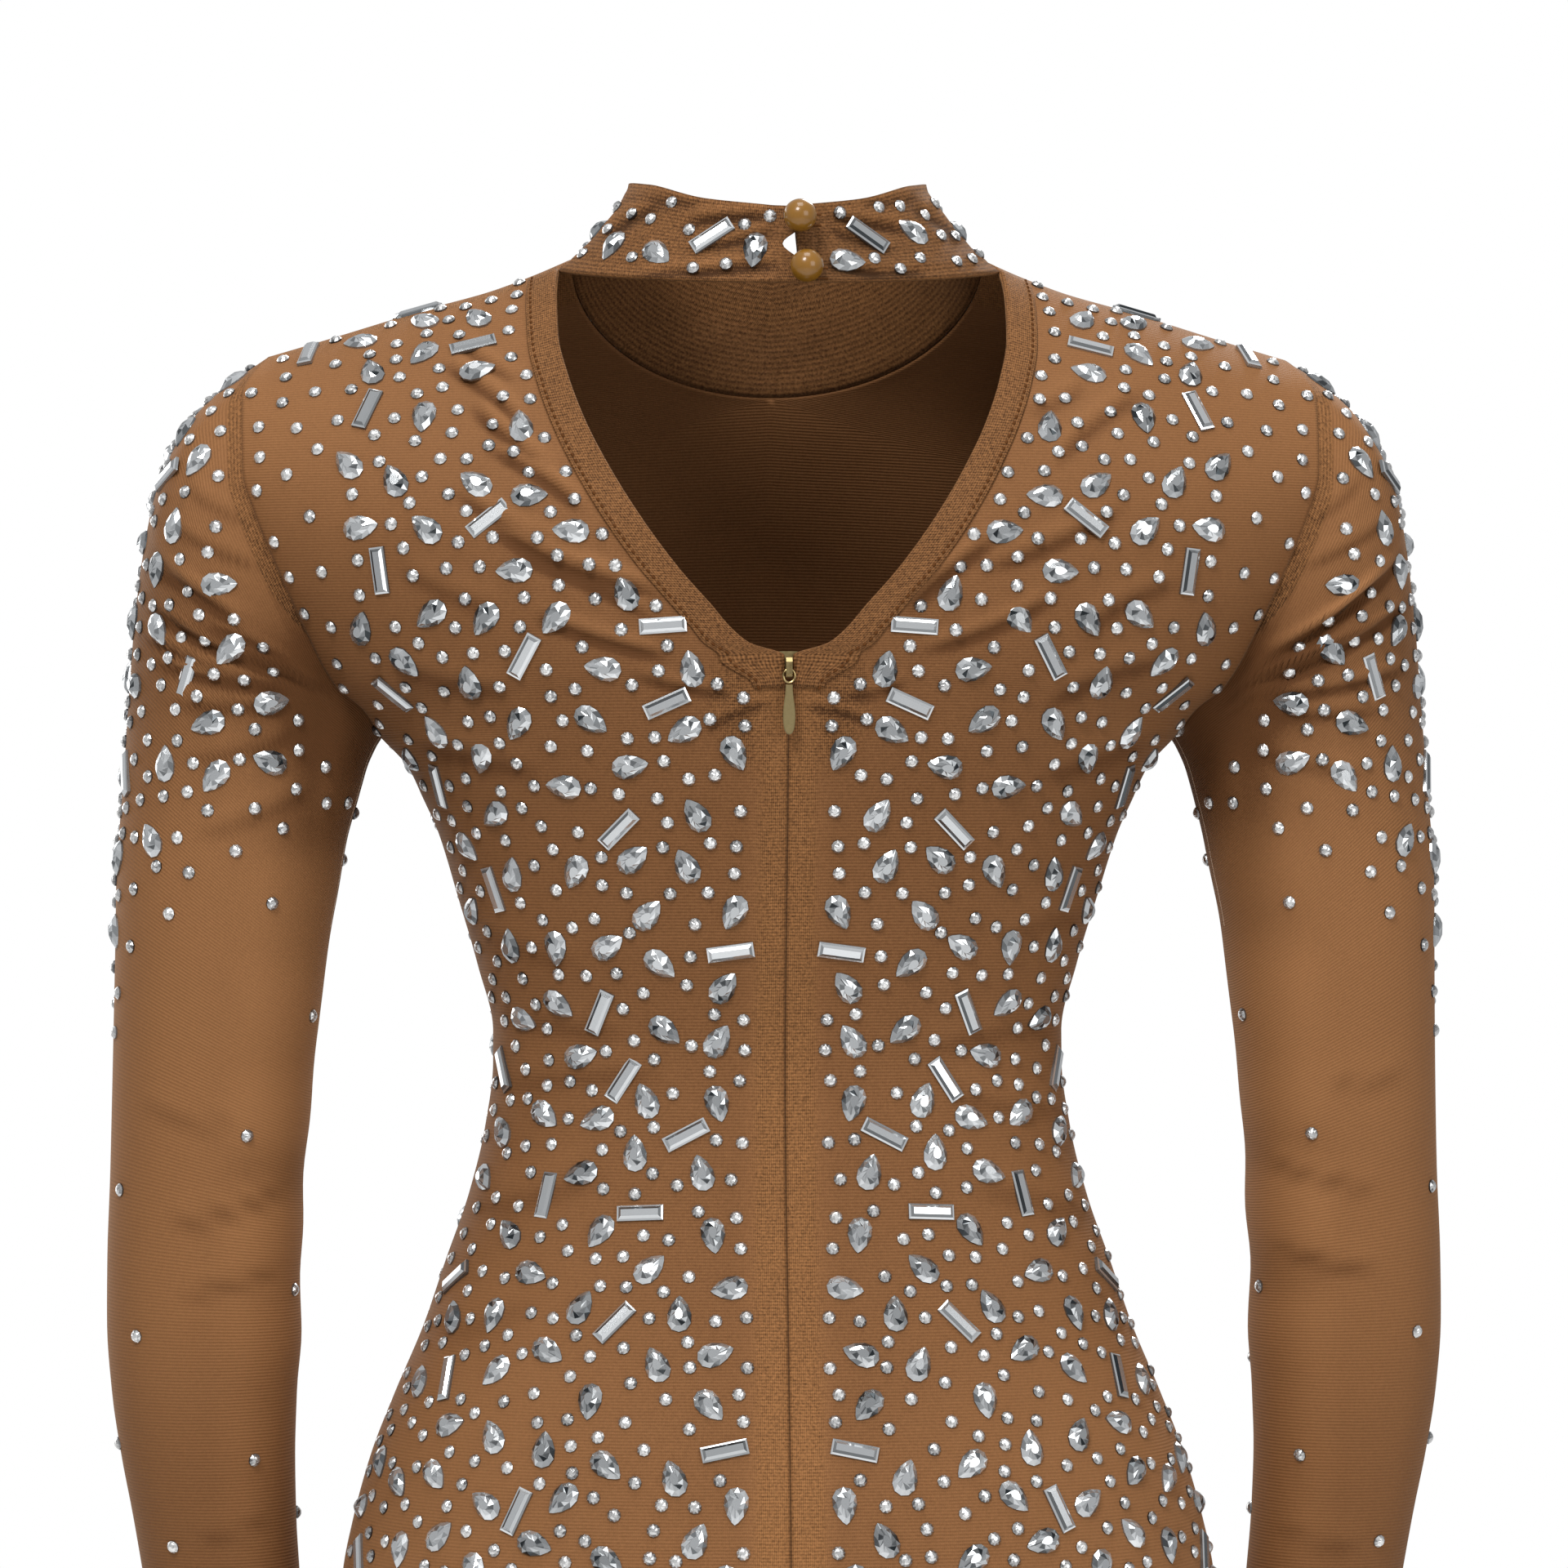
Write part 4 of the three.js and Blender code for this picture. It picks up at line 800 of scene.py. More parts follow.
for share, where in SLEEVE_SHADE_AND_LIGHT:
    sleeve_stretch = sleeve_stretch + share * where
sleeve = Cloth(rings, sleeve_normals, np.stack([ring_u, sleeve_v], axis=-1), sleeve_doubled,
               sleeve_seam, sleeve_stretch, steps)

SLEEVE_CREASES_LEFT = [
    (232, -90, 206, -104, 0.7, 2.4, 2), (240, -104, 200, -122, 0.9, 2.2, 2),
    (247, -112, 203, -144, 1.3, 2.2, 4), (250, -120, 205, -150, 1.2, 2.1, -2),
    (246, -136, 182, -167, 2.6, 1.9, 4), (224, -144, 183, -165, 1.6, 1.6, -2),
    (220, -149, 170, -172, 1.7, 1.4, 1), (206, -156, 174, -177, 0.9, 1.4, -2),
    (252, -146, 190, -168, 1.6, 1.9, 3), (247, -157, 180, -170, 2.0, 2.1, 3),
    (242, -174, 178, -174, 1.0, 2.4, 2), (236, -196, 182, -184, 0.8, 2.8, 3),
    (230, -226, 180, -206, 0.7, 3.3, 3), (252, -330, 206, -338, 0.5, 3.7, 2),
    (240, -376, 190, -362, 0.8, 3.3, 3), (236, -404, 190, -392, 0.7, 3.3, 2),
    (230, -500, 196, -492, 0.5, 3.4, 2), (228, -584, 190, -590, 0.6, 3.4, 2),
    (232, -618, 188, -610, 0.8, 3.3, 2),
]
SLEEVE_CREASES_RIGHT = [
    (-228, -84, -204, -104, 0.7, 2.4, -2), (-240, -100, -200, -122, 0.9, 2.2, -2),
    (-246, -114, -183, -157, 2.5, 2.2, -5), (-236, -122, -176, -166, 2.0, 1.9, -3),
    (-249, -132, -178, -167, 2.3, 1.9, -5), (-226, -150, -176, -170, 1.2, 1.8, -2),
    (-226, -145, -171, -170, 1.6, 1.4, -2), (-208, -160, -174, -178, 0.9, 1.4, 2),
    (-251, -158, -169, -173, 1.5, 2.1, -4), (-240, -176, -176, -178, 0.9, 2.4, -2),
    (-232, -202, -180, -190, 0.7, 3.0, -3), (-250, -318, -210, -322, 0.5, 3.7, -2),
    (-236, -362, -188, -352, 0.8, 3.3, -3), (-238, -396, -190, -384, 0.8, 3.4, -3),
    (-232, -506, -194, -498, 0.5, 3.4, -2), (-230, -600, -188, -594, 0.7, 3.4, -2),
]
WRINKLE = 0.9  # depth of the inner arm's soft waves


def sleeve_settled(cloth, lines, seed):
    """A creased sleeve. The front of the arm has the back's creases, a little lower down."""
    rows = cloth.grid.shape[0]
    hold = smooth(np.minimum(np.arange(rows) / 8, (rows - 1 - np.arange(rows)) / 4))[:, None]
    behind = strokes(cloth.grid, lines, cloth.normals[..., 1] * FRONTAL)
    lowered = [(x0, z0 - 14, x1, z1 - 6, *shape) for x0, z0, x1, z1, *shape in lines]
    before = strokes(cloth.grid, lowered, -cloth.normals[..., 1] * FRONTAL)
    inner = smooth(-cloth.normals[..., 0] * np.sign(cloth.grid[..., 0]) * 2.0)
    z = -cloth.grid[..., 2] / MM
    beat = np.sin(z / 7.1 + seed) * 0.6 + np.sin(z / 11.3 + 2.1 * seed) * 0.4
    near_elbow = np.exp(-((z - 372) / 60) ** 2) + 0.55 * np.exp(-((z - 235) / 36) ** 2)
    waves = beat * WRINKLE * MM * inner * near_elbow * 0.8
    folds = (behind + before + waves) * hold
    # painted shade in the sleeve's creases and waves, and a fainter painted highlight on their
    # ridges
    cloth = cloth.changed(stretch=cloth.known["stretch"] + fold_shade(folds))
    return cloth.pushed(folds + swell(cloth.grid, seed) * hold)


sleeve_left = sleeve_settled(sleeve, SLEEVE_CREASES_LEFT, 11)
sleeve_right = sleeve_settled(sleeve.mirrored(), SLEEVE_CREASES_RIGHT, 12)


def tucked_in(cloth):
    """The sleeve with its seam allowance turned in under the edge of the armhole."""
    ahead = unit(cloth.grid[0] - cloth.grid[1])
    tuck = cloth.grid[0] + ahead * 3 * MM - cloth.normals[0] * 1.5 * MM

    def twice(values):
        return np.concatenate([values[:1], values])

    known = {key: twice(values) for key, values in cloth.known.items()}
    grid = np.concatenate([tuck[None], cloth.grid])
    return Cloth(grid, twice(cloth.normals), twice(cloth.uv), **known)


for side, cloth, turn in (("left", sleeve_left, 1), ("right", sleeve_right, -1)):
    piece = cloth_object(f"cloth_sleeve_{side}", [tucked_in(cloth)], CLOTH, body_cloth, (turn,),
                         closed=True)
    finish_cloth(piece, f"sleeve_{side}")

# ------------------------------------------------------------------------------------------
# The collar: a stand band of two layers of mesh, folded at its top edge and sewn to the
# neckline. It crosses above the keyhole and its two ends meet behind the neck.
# ------------------------------------------------------------------------------------------
COLLAR_TOP = [  # angle from the wearer's side, positive to the back, and the top edge's height
    (-90, 4), (-60, 11), (-30, 24), (0, 31.5), (30, 29), (60, 22), (90, 18.4),
]
TOP_SIDE, TOP_BACK, TOP_FRONT = 58.8, 53, 60
FOOT_SIDE, FOOT_BACK, FOOT_Z = 89.6, 60, -11
CORNER_TURN = 15
COLLAR_HOLLOW = 3.6
COLLAR_ENDS = [  # share of the band's height, where the left and the right end stop
    (0, -10.4, -11), (0.25, -7.5, -10.6), (0.5, 0.5, -13), (0.75, -7, -10.2), (1, -8.2, -9.2),
]
COLLAR_UP = 22  # rows
COLLAR_WIDTH = 32
COLLAR_COLUMNS = {"end": 8, "free": 46, "corner": 9, "front": 61}
COLLAR_STRETCH = 0.37


def collar_top(turn):
    angle = math.radians(turn)
    reach = TOP_BACK if turn > 0 else TOP_FRONT
    height = float(curve(COLLAR_TOP, min(90, turn)))
    return np.array([TOP_SIDE * math.cos(angle), reach * math.sin(angle), height]) * MM


def neck_edge(side, climb):
    edge, _, _, _, _, place = panel_row(side, climb=climb)
    return place(edge)


collar_corner = neck_edge("back", FAN - 1)
AT_SIDE = np.array([1, 0, 1])  # brings a point into the plane of the shoulder seams


def collar_foot(turn):
    """The band's foot: the neckline's seam, then free across the keyhole."""
    if turn <= 0:
        point = neck_edge("front", FAN / 2 * (2 + turn / 90))
        return point if turn < 0 else point * AT_SIDE
    if turn <= CORNER_TURN:
        return mix(neck_edge("front", FAN) * AT_SIDE, collar_corner, turn / CORNER_TURN)

    def oval(angle):
        radians = math.radians(angle)
        return np.array([FOOT_SIDE * math.cos(radians), FOOT_BACK * math.sin(radians), 0]) * MM

    share = (turn - CORNER_TURN) / (90 - CORNER_TURN)
    point = oval(turn) + (collar_corner - oval(CORNER_TURN)) * (1 - share)
    point[2] = mix(collar_corner[2], FOOT_Z * MM, math.sin(math.pi / 2 * share))
    return point


def collar_point(foot, top, share):
    point = mix(foot, top, share)
    inward = unit(np.array([-point[0], -point[1], 0]))
    sideways = abs(point[0]) / (abs(point[0]) + abs(point[1]))
    return point + inward * COLLAR_HOLLOW * MM * 4 * share * (1 - share) * mix(0.25, 1, sideways)


def collar_end(share, x):
    point = collar_point(collar_foot(90), collar_top(90), share)
    fall = TOP_BACK * (1 - math.sqrt(1 - (x / FOOT_SIDE) ** 2))
    return np.array([x, point[1] / MM - fall, point[2] / MM]) * MM


shares = np.linspace(0, 1, COLLAR_UP + 1)
free_turns = np.linspace(86, CORNER_TURN, COLLAR_COLUMNS["free"])[:-1]
corner_turns = np.linspace(CORNER_TURN, 0, COLLAR_COLUMNS["corner"])[:-1]
front_turns = np.linspace(0, -90, COLLAR_COLUMNS["front"])
half = []
for turn in np.concatenate([free_turns, corner_turns, front_turns]):
    foot, top = collar_foot(turn), collar_top(turn)
    half.append([collar_point(foot, top, share) for share in shares])
half = np.array(half)
ends = {}
for side, column in (("left", 1), ("right", 2)):
    stop = curve(COLLAR_ENDS, shares, column)
    ends[side] = np.array([collar_end(share, x) for share, x in zip(shares, stop)])


def bridged(end, start):
    """Columns between an end of the band and its first full column."""
    t = np.linspace(0, 1, COLLAR_COLUMNS["end"] + 1)[:-1, None, None]
    bow = np.array([0, 1, 0]) * 0.35 * MM * np.sin(math.pi * t)
    return mix(end[None], start[None], t) + bow


flip = np.array([-1, 1, 1])
left_part = np.concatenate([bridged(ends["left"], half[0]), half])
right_part = np.concatenate([bridged(ends["right"], half[0] * flip), half * flip])
band = np.concatenate([left_part, right_part[::-1][1:]])  # columns first, then up
band = band.transpose(1, 0, 2)
collar_normals = unit(np.cross(np.gradient(band, axis=1), np.gradient(band, axis=0)))
centre = np.array([0, -3 * MM, 0])
if np.mean(np.sum(collar_normals * (band - centre), axis=-1)) < 0:
    collar_normals = -collar_normals
lengths = np.cumsum(np.linalg.norm(np.diff(band, axis=1, prepend=band[:, :1]), axis=2), axis=1)
level = np.ones(band.shape[:2])
collar_uv = np.stack([lengths, shares[:, None] * level * COLLAR_WIDTH * MM], axis=-1)
collar = Cloth(band, collar_normals, collar_uv, level * FAR, level * FAR, level * COLLAR_STRETCH)
COLLAR_CREASES = [  # pulls that run out from the two buttons
    (-14, 15, -52, 11, 1.2, 2.0, 1), (-16, 11, -44, 2, 1.05, 1.8, 1),
    (-13, -4, -40, -9, 1.05, 2.0, -1), (2, 14, 40, 12, 1.2, 2.0, 1),
    (3, 9, 34, 2, 1.05, 1.8, -1), (0, -5, 38, -9, 1.2, 2.0, 1),
    (46, 20, 70, 6, 1.05, 2.4, 2), (-50, 20, -72, 6, 1.05, 2.4, -2),
    (30, 18, 62, 24, 0.75, 2.2, 1), (26, -8, 58, -9, 0.9, 1.8, 1),
    (-24, -7, -58, -6, 1.05, 1.8, 1), (-30, 20, -56, 25, 0.75, 2.0, 1),
]
COLLAR_LIPS = (0.09, 0.93)  # shares of the height where the fold and the seam dip in
pulls = strokes(collar.grid, COLLAR_CREASES, collar.normals[..., 1] * FRONTAL)
ripple = np.sin(lengths / MM / 5.5) * 0.12 * MM + np.sin(lengths / MM / 13 + 1) * 0.25 * MM
hold = smooth(np.minimum(shares, 1 - shares) * 7)[:, None]
# painted shade in the collar's pulls, and a fainter painted highlight on their ridges
collar = collar.changed(stretch=collar.known["stretch"] + fold_shade(pulls))
collar = collar.pushed((pulls + ripple) * hold)
lip = 0.35 * MM * sum(np.exp(-((shares - height) / 0.03) ** 2) for height in COLLAR_LIPS)
collar = collar.pushed(-lip[:, None] * level)
piece = cloth_object("cloth_collar", [collar], CLOTH, body_cloth, (-1,))
finish_cloth(piece, "collar")

# ------------------------------------------------------------------------------------------
# The keyhole's binding: a strip of mesh folded over the raw edge from the collar down to the
# zip, and topstitched near its outer margin. Its lower ends turn down beside the zip.
# ------------------------------------------------------------------------------------------
BINDING_FROM, BINDING_TO = UNDERARM_STEP + 1.85, UNDERARM_STEP + FAN - 1
BINDING_WIDTH = 12
BINDING_FINE = 3  # columns of the strip to each of the panel's
STITCH_LINE = 0.86  # share of the strip's width
PUCKER, PUCKER_PITCH = 0.22, 4.4


def binding_cloth(cloth):
    """The panel's first columns, lifted as a crowned strip."""
    rows = (cloth.rows >= BINDING_FROM) & (cloth.rows <= BINDING_TO)
    columns = slice(0, BAND_CELLS + 1)
    grid, normals = cloth.grid[rows, columns], cloth.normals[rows, columns].copy()
    normals[:, 0] = normals[:, 1]
    t = np.arange(BAND_CELLS * BINDING_FINE + 1) / BINDING_FINE
    i = np.minimum(t.astype(int), BAND_CELLS - 1)
    f = (t - i)[None, :, None]
    grid = mix(grid[:, i], grid[:, i + 1], f)
    normals = unit(mix(normals[:, i], normals[:, i + 1], f))
    over = np.linspace(0, 1, len(t))
    length = np.concatenate([[0], np.cumsum(np.linalg.norm(np.diff(grid[:, 0], axis=0), axis=1))])
    edge = np.minimum(over, 1 - over)
    crown = np.sqrt(np.clip(1 - (1 - np.clip(edge / 0.09, 0, 1)) ** 2, 0, 1))
    stitched = np.exp(-((over - STITCH_LINE) / 0.035) ** 2)
    beats = np.sin(length / MM * 2 * math.pi / PUCKER_PITCH)[:, None]
    pucker = beats * np.exp(-((over - 0.9) / 0.1) ** 2) * PUCKER * MM * 0.5
    height = GAP + TRIM * (0.25 + 0.75 * crown - 0.35 * stitched)[None, :] + pucker
    uv = np.stack(np.broadcast_arrays(over[None, :] * BINDING_WIDTH * MM, length[:, None]), -1)
    stitch_line = np.abs(over - STITCH_LINE)[None, :] * 13 + 0 * height + 0.5
    climbed = cloth.rows[rows] - UNDERARM_STEP
    stretch = 0.36 + 0.05 * smooth((climbed - 5) / 5)[:, None] + 0 * height
    top = Cloth(grid + normals * height[..., None], normals, uv, height * 0 + FAR,
                stitch_line, stretch, cloth.rows[rows])
    return top, height, over


thread = Paint("sewing_thread", Roughness=0.8, Specular_IOR_Level=0.1)
twist = thread.noise(1500.0, 2.0)
thread.feed(Base_Color=thread.mix(twist, (0.070, 0.024, 0.005), (0.125, 0.046, 0.012)),
            Normal=thread.bump(twist, 0.1 * MM))
pale_thread = Paint("overlock_thread", Roughness=0.8)
twist = pale_thread.noise(1500.0, 2.0)
pale_thread.feed(Base_Color=pale_thread.mix(twist, (0.30, 0.19, 0.12), (0.50, 0.36, 0.26)))


class Tree:
    """A Geometry Nodes tree that sets small things on points, facing out of the cloth."""

    def __init__(self, name, inputs, result):
        self.tree = bpy.data.node_groups.new(name, "GeometryNodeTree")
        for label, kind in inputs:
            self.tree.interface.new_socket(label, in_out="INPUT", socket_type=f"NodeSocket{kind}")
        self.tree.interface.new_socket(result, in_out="OUTPUT", socket_type="NodeSocketGeometry")
        self.add, self.link = self.tree.nodes.new, self.tree.links.new
        self.given = self.add("NodeGroupInput").outputs

    def vector(self, name):
        """A direction that each point carries."""
        node = self.add("GeometryNodeInputNamedAttribute")
        node.data_type = "FLOAT_VECTOR"
        node.inputs["Name"].default_value = name
        return node.outputs["Attribute"]

    def set_on(self, points, thing, heading):
        """One thing on each point, its Z out of the cloth and its X along the heading."""
        axes = self.add("FunctionNodeAxesToRotation")
        axes.primary_axis, axes.secondary_axis = "Z", "X"
        self.link(self.vector("out"), axes.inputs["Primary Axis"])
        self.link(heading, axes.inputs["Secondary Axis"])
        setting = self.add("GeometryNodeInstanceOnPoints")
        for socket, source in (("Points", points), ("Instance", thing),
                               ("Rotation", axes.outputs["Rotation"])):
            self.link(source, setting.inputs[socket])
        return setting

    def realized(self, instances):
        """The instances as one mesh with a material, which becomes what the tree gives."""
        real = self.add("GeometryNodeRealizeInstances")
        self.link(instances, real.inputs[0])
        paint = self.add("GeometryNodeSetMaterial")
        self.link(real.outputs[0], paint.inputs["Geometry"])
        self.link(paint.outputs[0], self.add("NodeGroupOutput").inputs[0])
        return paint.inputs["Material"]


def stitch_tree():
    """Geometry Nodes that lay one stitch after another along a path, facing out."""
    made = Tree("stitch_along", [("Path", "Geometry"), ("Length", "Float"), ("Thickness", "Float"),
                                 ("Pitch", "Float"), ("Thread", "Material")], "Stitches")
    add, link, given = made.add, made.link, made.given
    line = add("GeometryNodeMeshToCurve")
    link(given["Path"], line.inputs["Mesh"])
    beats = add("GeometryNodeResampleCurve")
    beats.mode = "LENGTH"
    link(line.outputs["Curve"], beats.inputs["Curve"])
    link(given["Pitch"], beats.inputs["Length"])
    bead = add("GeometryNodeMeshUVSphere")
    bead.inputs["Segments"].default_value = 6
    bead.inputs["Rings"].default_value = 5
    bead.inputs["Radius"].default_value = 0.5
    size = add("ShaderNodeCombineXYZ")
    for axis, socket in (("X", "Length"), ("Y", "Thickness"), ("Z", "Thickness")):
        link(given[socket], size.inputs[axis])
    tangent = add("GeometryNodeInputTangent")
    setting = made.set_on(beats.outputs["Curve"], bead.outputs["Mesh"], tangent.outputs[0])
    link(size.outputs[0], setting.inputs["Scale"])
    link(given["Thread"], made.realized(setting.outputs[0]))
    return made.tree


stitches = stitch_tree()


def made_plain(name, holder):
    """What an object comes to with its curve or its modifier worked out, as a plain mesh."""
    bpy.context.view_layer.update()
    ready = holder.evaluated_get(bpy.context.evaluated_depsgraph_get())
    mesh = bpy.data.meshes.new_from_object(ready)
    bpy.data.objects.remove(holder)
    return placed(name, mesh)


def made_by_nodes(name, mesh, tree, settings):
    """The plain mesh that a node tree makes of a mesh."""
    holder = placed(name, mesh)
    modifier = holder.modifiers.new("made", "NODES")
    modifier.node_group = tree
    for item in tree.interface.items_tree:
        if item.name in settings:
            modifier[item.identifier] = settings[item.name]
    piece = made_plain(name, holder)
    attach(piece, "dress")
    return piece


def sewn(name, paths, thread_paint, pitch, length, thick):
    """One piece of stitches along several paths, each its points and outward directions."""
    points = np.concatenate([path for path, _ in paths])
    outs = np.concatenate([out for _, out in paths])
    edges, start = [], 0
    for path, _ in paths:
        edges += [(start + i, start + i + 1) for i in range(len(path) - 1)]
        start += len(path)
    mesh = bpy.data.meshes.new(name)
    mesh.from_pydata(points.tolist(), edges, [])
    carry(mesh, "out", "FLOAT_VECTOR", outs)
    piece = made_by_nodes(name, mesh, stitches, {
        "Length": length * MM, "Thickness": thick * MM, "Pitch": pitch * MM,
        "Thread": thread_paint.material})
    return piece


topstitching = []
for side, cloth, turn in (("left", back_left, 1), ("right", back_right, -1)):
    strip, height, over = binding_cloth(cloth)
    line = int(np.argmin(np.abs(over - STITCH_LINE)))
    out = strip.normals[:, line]
    topstitching.append((strip.grid[:, line] + out * 0.1 * MM, out))
    under_side = strip.grid - strip.normals * (height - GAP)[..., None]
    strip = strip.changed(normals=(strip.grid - under_side) / TRIM)
    piece = cloth_object(f"cloth_binding_{side}", [strip], TRIM, body_cloth, (turn,))
    finish_cloth(piece, f"keyhole_binding_{side}")
sewn("stitches_keyhole", topstitching, thread, pitch=3.1, length=2.1, thick=1.1)

# ------------------------------------------------------------------------------------------
# The hems: the skirt's and the cuffs' raw edges are turned up once and sewn with two rows of
# stitches. A short run of the underarm seams' pale overlocking shows near the armpits.
# ------------------------------------------------------------------------------------------
HEM_ROWS = (17.0, 20.0)  # up from the skirt's lower edge
CUFF_ROWS = (12.0, 14.5)
OVERLOCKED = (-0.262, -0.186)  # heights of the run that shows near each armpit


def row_at(cloth, height):
    """A line round the cloth at a height above its lower edge, and its outward directions."""
    column = cloth.grid[:, cloth.grid.shape[1] // 2, 2]
    order = np.argsort(column)
    r = float(np.interp(column.min() + height * MM, column[order], order))
    i = min(int(r), len(column) - 2)
    line = mix(cloth.grid[i], cloth.grid[i + 1], r - i)
    out = unit(mix(cloth.normals[i], cloth.normals[i + 1], r - i))
    return line + out * 0.1 * MM, out


hems = [row_at(cloth, height) for cloth in (back_left, back_right, front_left, front_right)
        for height in HEM_ROWS]
cuffs = []
for cloth in (sleeve_left, sleeve_right):
    for height in CUFF_ROWS:
        line, out = row_at(cloth, height)
        cuffs.append((np.concatenate([line, line[:1]]), np.concatenate([out, out[:1]])))
sewn("stitches_hems", hems + cuffs, thread, pitch=3.4, length=2.5, thick=0.5)
underarm = int(round((math.pi - SEAM_BEHIND) / (2 * math.pi) * SLEEVE_AROUND))
seams = []
for cloth in (sleeve_left, sleeve_right):
    height = cloth.grid[:, underarm, 2]
    run = (height > OVERLOCKED[0]) & (height < OVERLOCKED[1])
    out = cloth.normals[run, underarm]
    seams.append((cloth.grid[run, underarm] + out * 0.05 * MM, out))
sewn("stitches_underarm", seams, pale_thread, pitch=1.5, length=1.9, thick=0.45)

# ------------------------------------------------------------------------------------------
# The zip: two woven tapes inside the back, and a slider, its ring and its painted teardrop tab
# outside. The slider stands at the zip's closed top, and the ring and tab swing in its eye.
# ------------------------------------------------------------------------------------------
tape_paint = Paint("zip_tape", Roughness=0.85)
ribbing = tape_paint.node("ShaderNodeTexCoord", output=3)
tape_height = tape_paint.node("ShaderNodeSeparateXYZ", None, ribbing, output=2)
TAPE_RIB = 0.9 * MM
tape_rib = (tape_height * (2 * math.pi / TAPE_RIB)).sin() * 0.5 + 0.5
tape_paint.feed(Base_Color=tape_paint.mix(tape_rib, (0.12, 0.058, 0.026), (0.19, 0.095, 0.043)))
tape_paint.feed(Normal=tape_paint.bump(tape_rib, 0.15 * MM))
TAPE_TOP = UNDERARM_STEP + 1.0
for side, cloth, turn in (("left", back_left, 1), ("right", back_right, -1)):
    rows = (cloth.rows <= TAPE_TOP) & (cloth.grid[:, 0, 2] >= ZIP_FOOT_Z * MM)
    tape = cloth.cut(rows, slice(0, BAND_CELLS + 1))
    tape = tape.pushed(np.full(tape.grid.shape[:2], -(CLOTH + GAP)))
    piece = cloth_object(f"tape_{side}", [tape], TRIM, tape_paint.material, (turn,))
    finish_cloth(piece, f"zip_tape_{side}")

brass = Paint("zip_brass", Metallic=1.0)
wear = brass.noise(420.0, 3.0)
brass.feed(Base_Color=brass.mix(wear, (0.20, 0.14, 0.055), (0.48, 0.37, 0.18)),
           Roughness=wear * 0.25 + 0.18)
enamel = Paint("zip_tab_enamel", Metallic=0.1, Coat_Weight=0.2, Coat_Roughness=0.3)
speckle = enamel.noise(700.0, 3.0)
enamel.feed(Base_Color=enamel.mix(speckle, (0.150, 0.110, 0.036), (0.200, 0.148, 0.056)),
            Roughness=speckle * 0.2 + 0.38, Normal=enamel.bump(speckle, 0.05 * MM))


def repaint(node, material):
    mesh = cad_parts[node].data
    mesh.materials.clear()
    mesh.materials.append(material)


repaint("zip_slider", brass.material)
repaint("zip_pull_ring", brass.material)
repaint("zip_pull_tab", enamel.material)

# ------------------------------------------------------------------------------------------
# The buttons: two glossy moulded balls on short shanks, sewn to the collar's left end, and a
# thread loop from the right end round each shank.
# ------------------------------------------------------------------------------------------
BUTTON_RADIUS = 6.4
SHANK_RADIUS, SHANK_LENGTH = 1.2, 2.2
BUTTONS = [("top", -6, 0.81), ("bottom", -8.4, 0.09)]  # name, place across, share of the band
LOOP_RADIUS = 0.5
BALL_AROUND, BALL_RINGS = 48, 30

gloss = Paint("button_gloss", Roughness=0.3, Specular_IOR_Level=0.3, Coat_Weight=0.5,
              Coat_Roughness=0.02)
swirl = gloss.noise(160.0, 3.0)
gloss.feed(Base_Color=gloss.mix(swirl, (0.190, 0.083, 0.007), (0.245, 0.112, 0.013)))


def seat_of(x, share):
    """A place on the collar's left end, the way out of it and the way up it."""
    seat = collar_end(share, x)
    rise = unit(collar_end(share + 0.05, x) - collar_end(share - 0.05, x))
    out = unit(np.cross(rise, np.array([1.0, 0, 0])))
    return seat, out if out[1] > 0 else -out, rise


def round_ring(radius, count, height, half_step=0.0):
    angles = [2 * math.pi * (k + half_step) / count for k in range(count)]
    return [(radius * math.cos(a), radius * math.sin(a), height) for a in angles]


def turned(profile, around_count):
    """Points and faces of a profile of radii and heights turned about its own axis."""
    points, faces = [], []
    for radius, height in profile:
        points += round_ring(radius, around_count, height)
    for j in range(len(profile) - 1):
        for k in range(around_count):
            n = (k + 1) % around_count
            faces.append((j * around_count + k, j * around_count + n,
                          (j + 1) * around_count + n, (j + 1) * around_count + k))
    faces.append(tuple(reversed(range(around_count))))
    faces.append(tuple((len(profile) - 1) * around_count + k for k in range(around_count)))
    return np.array(points), faces


def solid_object(name, points, faces, material, smooth_shade=True):
    mesh = bpy.data.meshes.new(name)
    mesh.from_pydata(points.tolist(), [], faces)
    mesh.polygons.foreach_set("use_smooth", np.full(len(faces), smooth_shade))
    mesh.materials.append(material)
    return placed(name, mesh)


